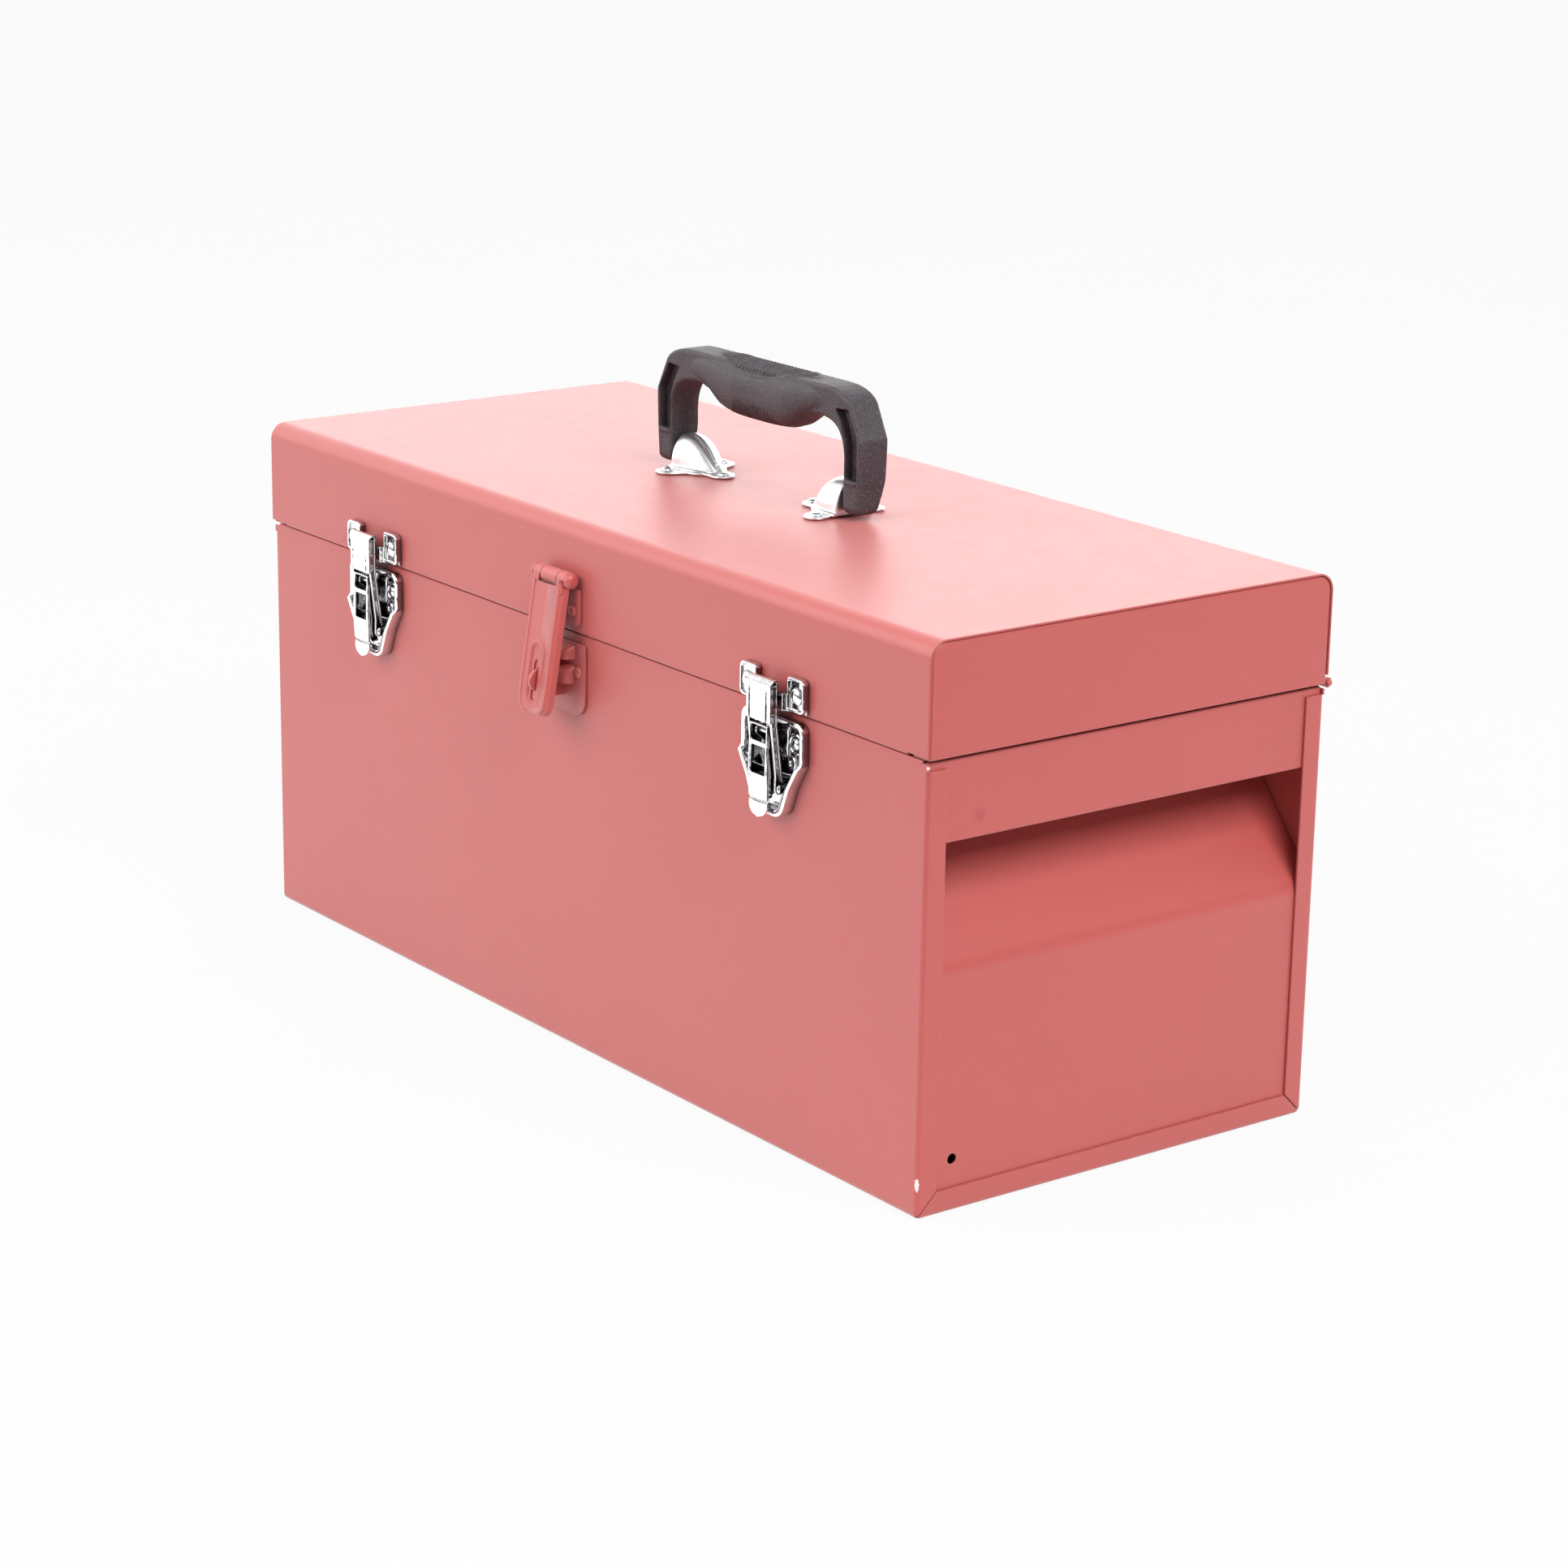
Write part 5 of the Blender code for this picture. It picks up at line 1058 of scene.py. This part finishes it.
for side, word in ((-1, "left"), (1, "right")):
    base_z = LID_TOP + 0.3
    body = union(Shape().prism(trefoil(side), along_z, base_z, base_z + 1.25, 0.35),
                 Shape().loft([hood_ring(side, x, w, h, 0.0, base_z + 0.6) for x, w, h in HOOD]))
    # a pressed rib over the crown and a bead along the foot of each flank
    crown = [(side * x, GRIP_Y, LID_TOP + 1.5 + h * 0.93) for x, w, h in HOOD[1:-1]]
    extra = [Shape().tube(crown, [1.1] * (len(crown) - 3) + [1.0, 0.8, 0.5], 14)]
    for sy in (-1, 1):
        foot = [(side * x, GRIP_Y + sy * (w + 0.25), base_z + 1.35) for x, w, h in HOOD[0:9]]
        extra.append(Shape().tube(foot, [1.0] * 7 + [0.8, 0.5], 12))
    body = union(body, *extra)
    inner = [(61.0, 9.6, 15.0)] + [(x, w, h) for x, w, h in HOOD[2:9]]
    body = carve(body, Shape().loft([hood_ring(side, x, w, h, 1.35, base_z - 1.0) for x, w, h in inner]))
    body = remeshed(body, 0.34, 5, 0.5)
    tools = [Shape().prism(disc(GRIP_Y, GRIP_Z, GRIP_PIN + 0.09, 40), along_x, side * 59.0, side * 64.0)]
    holes, through = Shape(), Shape()
    for lx, ly in LOBES:
        spot = [(side * lx + u, GRIP_Y + ly + v) for u, v in disc(0, 0, RIVET_HOLE, 24)]
        holes.prism(spot, along_z, base_z - 1.0, base_z + 2.0)
        HOLES["lid"].append(Shape().prism(spot, along_z, LID_TOP - 3.0, LID_TOP + 2.0))
    body = carve(body, tools[0], holes)
    add_piece("handle_bracket_%s_pressed" % word, body, "lid", ["handle_bracket_" + word], BRACKET_CHROME, weighted=False)
    for n, (lx, ly) in enumerate(LOBES, 1):
        add_piece("handle_bracket_%s_rivet_%d_set" % (word, n),
                  rivet(lambda u, v, w, lx=lx, ly=ly: (side * lx + u, GRIP_Y + ly + v, base_z + 1.25 + w), 1.25 + 0.3 + SHEET, 2.9, 1.5), "lid",
                  ["handle_bracket_%s_rivet_%d" % (word, n)], BRACKET_CHROME)
    add_piece("handle_pin_%s_turned" % word, Shape().spin([
        (0.0, 53.3), (3.0, 53.3), (3.4, 53.4), (3.8, 53.8), (3.8, 55.0), (GRIP_PIN, 55.0), (GRIP_PIN, 70.6), (GRIP_PIN - 0.5, 71.0), (0.0, 71.0)],
        lambda u, v, w: (side * w, GRIP_Y + u, GRIP_Z + v), 36), "handle", ["handle_pin_" + word], ZINC)


# ---- carrying handle -------------------------------------------------------------------------------------------
def flowing(points, steps=6):
    """A smooth curve through points (x, z)."""
    out, n = [], len(points)
    for i in range(n - 1):
        p0, p1, p2, p3 = points[max(0, i - 1)], points[i], points[i + 1], points[min(n - 1, i + 2)]
        for k in range(steps):
            t = k / steps
            out.append(tuple(0.5 * ((2 * b) + (c - a) * t + (2 * a - 5 * b + 4 * c - d) * t * t + (3 * b - a - 3 * c + d) * t ** 3) for a, b, c, d in zip(p0, p1, p2, p3)))
    out.append(tuple(points[-1]))
    return out


def grip_outline():
    foot = arc(71.0, 247.4, 3.8, -90, -8, 14)
    out = [(GRIP_IN + 0.6, 243.6)] + foot + [(75.8, 259.0), (76.5, 275.0), (76.4, 277.4)] + [(68.9, 292.3), (66.9, 294.3), (64.0, 296.0), (60.2, 297.3), (55.6, 298.2), (49.0, GRIP_TOP)]
    arch = flowing([(20.0, 281.4), (36.0, 282.8), (41.5, 284.2), (48.0, 284.5), (54.6, 283.4), (59.6, 280.6), (62.8, 275.9), (64.2, 270.0), (64.3, 262.0), (64.3, 250.0)], 4)
    right = out
    return right + [(-x, z) for x, z in reversed(right)] + [(-x, z) for x, z in reversed(arch)] + arch


grip = softened(mesh_of(Shape().prism(grip_outline(), along_y, GRIP_Y - 8.0, GRIP_Y + 8.0)), 1.5, 3, 50)
rows = [(-56.5, 5.8, 287.6, 296.0), (-50.5, 7.8, 285.0, 297.4), (-45.0, 8.8, 284.1, 298.3), (-40.5, 9.6, 283.2, 298.6), (-36.5, 10.2, 281.7, 298.7), (-33.0, 10.7, 279.8, 298.75), (-29.5, 11.1, 277.4, 298.8), (-26.5, 11.4, 275.6, 298.85), (-22.5, 11.6, 274.4, 298.9),
        (-16.0, 11.8, 273.8, 298.9), (-8.0, 11.9, 273.5, 298.9)]
rows = rows + [(-x, wy, lo, hi) for x, wy, lo, hi in reversed(rows)]
rings = []
for x, wy, lo, hi in rows:
    mid, half, ring = (lo + hi) / 2, (hi - lo) / 2, []
    for k in range(40):
        a = 2 * math.pi * k / 40
        c, s = math.cos(a), math.sin(a)
        # a squarish oval: flat enough on its faces for the hand
        q = 1.0 / (abs(c) ** 2.5 + abs(s) ** 2.5) ** 0.4
        ring.append((x, GRIP_Y + wy * c * q, mid + half * s * q))
    rings.append(ring)
grip = union(grip, Shape().loft(rings))
slots, ledges = [], []
for side in (-1, 1):
    for face in (-1, 1):
        outline = rounded_loop([(65.7, 258.9, 0.6), (74.0, 258.9, 0.6), (73.9, 278.4, 2.5), (68.9, 286.6, 2.0), (67.4, 290.0, 0.8), (58.2, 289.4, 0.8), (62.4, 283.0, 6.0), (65.3, 275.4, 5.0)], 15)
        slots.append(Shape().prism([(side * x, z) for x, z in outline], along_y, GRIP_Y + face * 3.0, GRIP_Y + face * 9.5))
        ledges.append(Shape().prism(rounded_loop([(side * 65.8, 257.4, 0.5), (side * 73.7, 257.4, 0.5), (side * 73.7, 259.3, 0.5), (side * 65.8, 259.3, 0.5)], 45), along_y, GRIP_Y + face * 5.5, GRIP_Y + face * 8.9, 0.3))
grip = carve(grip, *slots)
grip = union(grip, *ledges)
grip = carve(grip, *[Shape().prism(disc(GRIP_Y, GRIP_Z, GRIP_PIN + 0.25, 32), along_x, side * 60.0, side * 71.6) for side in (-1, 1)])
corners = Shape()
for side in (-1, 1):
    for lo, hi in ((-80.0, -60.0), (60.0, 80.0)):
        # the back tapers towards the foot
        if side > 0:
            corners.prism([(GRIP_Y + 9.4, 241.0), (GRIP_Y + 9.4, 264.0), (GRIP_Y + 8.1, 264.0), (GRIP_Y + 7.7, 259.5), (GRIP_Y + 5.9, 252.0), (GRIP_Y + 4.2, 245.8), (GRIP_Y + 2.6, 243.2), (GRIP_Y + 2.2, 241.0)], along_x, lo, hi)
            continue
        tri = [(GRIP_Y + side * 8.8, 242.0), (GRIP_Y + side * 8.8, 248.4)] + [
            (GRIP_Y + side * (3.8 + 4.2 * math.cos(math.radians(a))), 247.9 - 4.4 * math.sin(math.radians(a))) for a in range(0, 91, 10)] + [(GRIP_Y + side * 3.0, 242.0)]
        corners.prism(tri, along_x, lo, hi)
grip = carve(grip, corners)
grip = remeshed(grip, 0.42, 5, 0.5)
count = len(grip.vertices)
co = np.empty(count * 3)
grip.vertices.foreach_get("co", co)
co = co.reshape(-1, 3) / MM
no = np.empty(count * 3)
grip.vertices.foreach_get("normal", no)
no = no.reshape(-1, 3)


def smooth01(t):
    t = np.clip(t, 0, 1)
    return t * t * (3 - 2 * t)


x, y, z = co[:, 0], co[:, 1] - GRIP_Y, co[:, 2]
# thumb pad on top: an oval of cross ribs inside a raised welt
e = np.sqrt((x / 35.0) ** 2 + (y / 9.6) ** 2)
top = smooth01((no[:, 2] - 0.15) / 0.3) * smooth01((z - 287.0) / 3.0)
rib = 0.5 + 0.5 * np.cos(2 * math.pi * x / 2.6)
inside = smooth01((0.98 - e) / 0.05) * top
lift = inside * (-1.35 + 1.55 * rib ** 0.7)
lift += top * 0.38 * np.exp(-((e - 1.03) / 0.03) ** 2)
# finger side: bowed ribs on the belly
e2 = np.sqrt((x / 24.0) ** 2 + (y / 14.0) ** 2)
under = smooth01((-no[:, 2] + 0.12) / 0.35) * smooth01((284.0 - z) / 3.0)
bow = x + 0.0 * y
inside2 = smooth01((1.0 - e2) / 0.10) * under
lift += inside2 * (-0.45 + 0.75 * (0.5 + 0.5 * np.cos(2 * math.pi * bow / 2.4)))
co += no * lift[:, None]
co[:, 2] = np.minimum(co[:, 2], 299.0)
grip.vertices.foreach_set("co", (co * MM).ravel())
grip.update()
add_piece("handle_grip_moulded", grip, "handle", ["handle_grip"], PLASTIC, smooth_angle=75.0, weighted=False)


# ---- lift-out tray --------------------------------------------------------------------------------------------------
def tray_loop(d, z):
    x, y, r = TRAY_X - d, TRAY_Y - d, max(1.0, 8.0 - d)
    return [(u, v, z) for u, v in rounded_loop([(-x, -y, r), (x, -y, r), (x, y, r), (-x, y, r)], 7.5)]


steps = [(4.2, TRAY_LOW), (3.0, TRAY_LOW + 0.15), (2.0, TRAY_LOW + 0.7), (1.35, TRAY_LOW + 1.6), (1.2, TRAY_LOW + 2.6), (1.2, TRAY_TOP - 3.0), (0.35, TRAY_TOP - 3.0), (0.05, TRAY_TOP - 2.6), (0.0, TRAY_TOP - 2.0),
         (0.0, TRAY_TOP - 1.0), (0.2, TRAY_TOP - 0.4), (0.7, TRAY_TOP - 0.05), (1.1, TRAY_TOP), (1.5, TRAY_TOP - 0.05), (2.0, TRAY_TOP - 0.4), (2.2, TRAY_TOP - 1.0), (2.2, TRAY_LOW + 3.2), (2.5, TRAY_LOW + 2.0), (3.2, TRAY_LOW + 1.25), (4.4, TRAY_LOW + TRAY_SHEET)]
pan = Shape().loft([tray_loop(d, z) for d, z in steps])
floor_z = TRAY_LOW + TRAY_SHEET + 0.3
holes = Shape()
for hx in (-190.0, 190.0):
    holes.prism([(hx + u, 8.0 + v) for u, v in disc(0, 0, RIVET_HOLE, 24)], along_z, TRAY_LOW - 1.0, floor_z + 3.0)
add_piece("tray_pan_pressed", carve(pan, holes), "tray", ["tray_pan"], LID_PAINT)
rail = rounded_loop([
    (-243.0, floor_z, 1.0), (243.0, floor_z, 1.0), (243.0, 186.0, 3.0), (78.0, 186.0, 8.0), (62.0, 204.5, 10.0), (-62.0, 204.5, 10.0), (-78.0, 186.0, 8.0), (-243.0, 186.0, 3.0)], 9)
divider = union(Shape().prism(rail, along_y, -0.6, 0.6, 0.25), Shape().prism([(-0.4, floor_z), (14.0, floor_z), (14.0, floor_z + 1.0), (-0.4, floor_z + 1.0)], along_x, -220.0, 220.0, 0.2))
opening = rounded_loop([(-46.0, 187.5, 5.2), (46.0, 187.5, 5.2), (46.0, 198.5, 5.2), (-46.0, 198.5, 5.2)], 9)
divider = carve(divider, Shape().prism(opening, along_y, -3.0, 3.0), holes)
# the hand opening's edge is rolled over into a bead
beads = []
loop = inset(opening, -0.55)
n = len(loop)
ring = Shape()
rows = []
for i, (u, v) in enumerate(loop):
    a, b = loop[i - 1], loop[(i + 1) % n]
    t = (b[0] - a[0], b[1] - a[1])
    ln = math.hypot(*t)
    nx, nz = -t[1] / ln, t[0] / ln
    rows.append([(u + nx * 1.0 * math.cos(2 * math.pi * k / 12), 1.0 * math.sin(2 * math.pi * k / 12), v + nz * 1.0 * math.cos(2 * math.pi * k / 12)) for k in range(12)])
for p, q in zip(rows, rows[1:] + rows[:1]):
    for k in range(12):
        ring.face([p[k], p[(k + 1) % 12], q[(k + 1) % 12], q[k]])
divider = union(divider, ring)
add_piece("tray_divider_folded", divider, "tray", ["tray_divider"], LID_PAINT)
for n, hx in ((1, -190.0), (2, 190.0)):
    add_piece("tray_rivet_%d_set" % n, rivet(lambda u, v, w, hx=hx: (hx + u, 8.0 + v, floor_z + 1.0 + w), 1.0 + 0.3 + TRAY_SHEET), "tray", ["tray_rivet_%d" % n], ZINC)

# ---- shells, once all the rivet holes are known ---------------------------------------------------------------------
shell, slits = PARTS["shell"]
shell = carve(shell, slits, *HOLES["body"])
add_piece("body_shell_folded", shell, "box", ["body_shell"], SHELL_PAINT, smooth_angle=32.0)
lid = carve(lid_rings(), *HOLES["lid"])
add_piece("lid_skin_folded", lid, "lid", ["lid_skin"], LID_PAINT, smooth_angle=32.0)

# ---- floor, light, camera --------------------------------------------------------------------------------------------
CAM = Vector((1.405445, -1.050706, 0.621218))
RIGHT, UP, BACK = Vector((0.60000, 0.79982, 0.01660)), Vector((-0.23567, 0.15689, 0.95909)), Vector((0.76450, -0.57937, 0.28263))
cam = bpy.data.objects.new("camera", bpy.data.cameras.new("camera"))
bpy.context.scene.collection.objects.link(cam)
rot = Matrix((RIGHT, UP, BACK)).transposed().to_4x4()
cam.matrix_world = Matrix.Translation(CAM) @ rot
cam.data.lens, cam.data.sensor_width = 91.362, 36.0
cam.data.clip_start, cam.data.clip_end = 0.05, 60.0
bpy.context.scene.camera = cam

ahead = Vector((-BACK.x, -BACK.y, 0.0)).normalized()
aside = Vector((ahead.y, -ahead.x, 0.0))
corners = [ahead * a + aside * b for a, b in ((-0.75, -2.2), (-0.75, 2.2), (11.0, 7.5), (11.0, -7.5))]
mesh = bpy.data.meshes.new("floor")
mesh.from_pydata([(c.x, c.y, -0.0006) for c in corners], [], [(0, 1, 2, 3)])
floor = bpy.data.objects.new("floor", mesh)
bpy.context.scene.collection.objects.link(floor)
n = Nodes("pale_floor")
at = n.place()
base = n.mix(n.span(n.noise(at, 6.0, 4.0), 0.3, 0.7), (0.52, 0.52, 0.52), (0.55, 0.55, 0.55))
diffuse = n.new("ShaderNodeBsdfDiffuse", Color=base)
glow = n.new("ShaderNodeEmission", Color=(1.0, 1.0, 1.0, 1.0), Strength=1.0)
paths = n.new("ShaderNodeLightPath")
seen = n.math("ADD", n.math("MULTIPLY", paths.outputs["Is Camera Ray"], 0.93), n.math("MULTIPLY", paths.outputs["Is Glossy Ray"], 0.6))
glow.inputs["Strength"].default_value = 1.0
n.put(glow, "Strength", n.math("ADD", 1.0, n.math("MULTIPLY", paths.outputs["Is Glossy Ray"], 1.0)))
mixed = n.new("ShaderNodeMixShader", i0=seen, i1=diffuse.outputs[0], i2=glow.outputs[0])
mesh.materials.append(n.finish(mixed.outputs[0]))

w = Nodes("studio", world=True)
d = w.vmath("NORMALIZE", w.new("ShaderNodeTexCoord").outputs["Generated"])
back = w.vmath("DOT_PRODUCT", d, tuple(ahead))
sep = w.new("ShaderNodeSeparateXYZ", Vector=d)
up = sep.outputs["Z"]
glow = w.math("MULTIPLY", w.span(back, 0.05, 0.75), w.span(up, 0.30, 0.80, 1.0, 0.0))
level = w.math("ADD", w.math("MULTIPLY", glow, 2.65), 0.30)
level = w.math("MULTIPLY", level, w.span(up, -0.12, 0.02, 0.10, 1.0))
level = w.math("MAXIMUM", level, w.math("MULTIPLY", w.new("ShaderNodeLightPath").outputs["Is Camera Ray"], 0.95))
bg = w.new("ShaderNodeBackground", Color=(1.0, 1.0, 1.0, 1.0), Strength=level)
bpy.context.scene.world = w.finish(bg.outputs[0], "ShaderNodeOutputWorld")


def softbox(name, place, aim, size, power):
    data = bpy.data.lights.new(name, "AREA")
    data.shape, data.size, data.size_y, data.energy = "RECTANGLE", size[0], size[1], power
    ob = bpy.data.objects.new(name, data)
    ob.location = place
    ob.rotation_euler = (Vector(aim) - Vector(place)).to_track_quat("-Z", "Y").to_euler()
    bpy.context.scene.collection.objects.link(ob)
    return ob


softbox("key", (-0.7, -2.15, 1.5), (0.0, 0.0, 0.12), (2.7, 1.9), 61.0)
softbox("side", (2.0, 0.0, 1.95), (0.2, 0.0, 0.12), (1.5, 1.4), 66.0)
softbox("top", (0.1, 0.5, 2.4), (0.0, 0.0, 0.2), (1.8, 1.4), 3.0)
bpy.context.scene.view_settings.view_transform = "Standard"
bpy.context.scene.view_settings.look = "None"
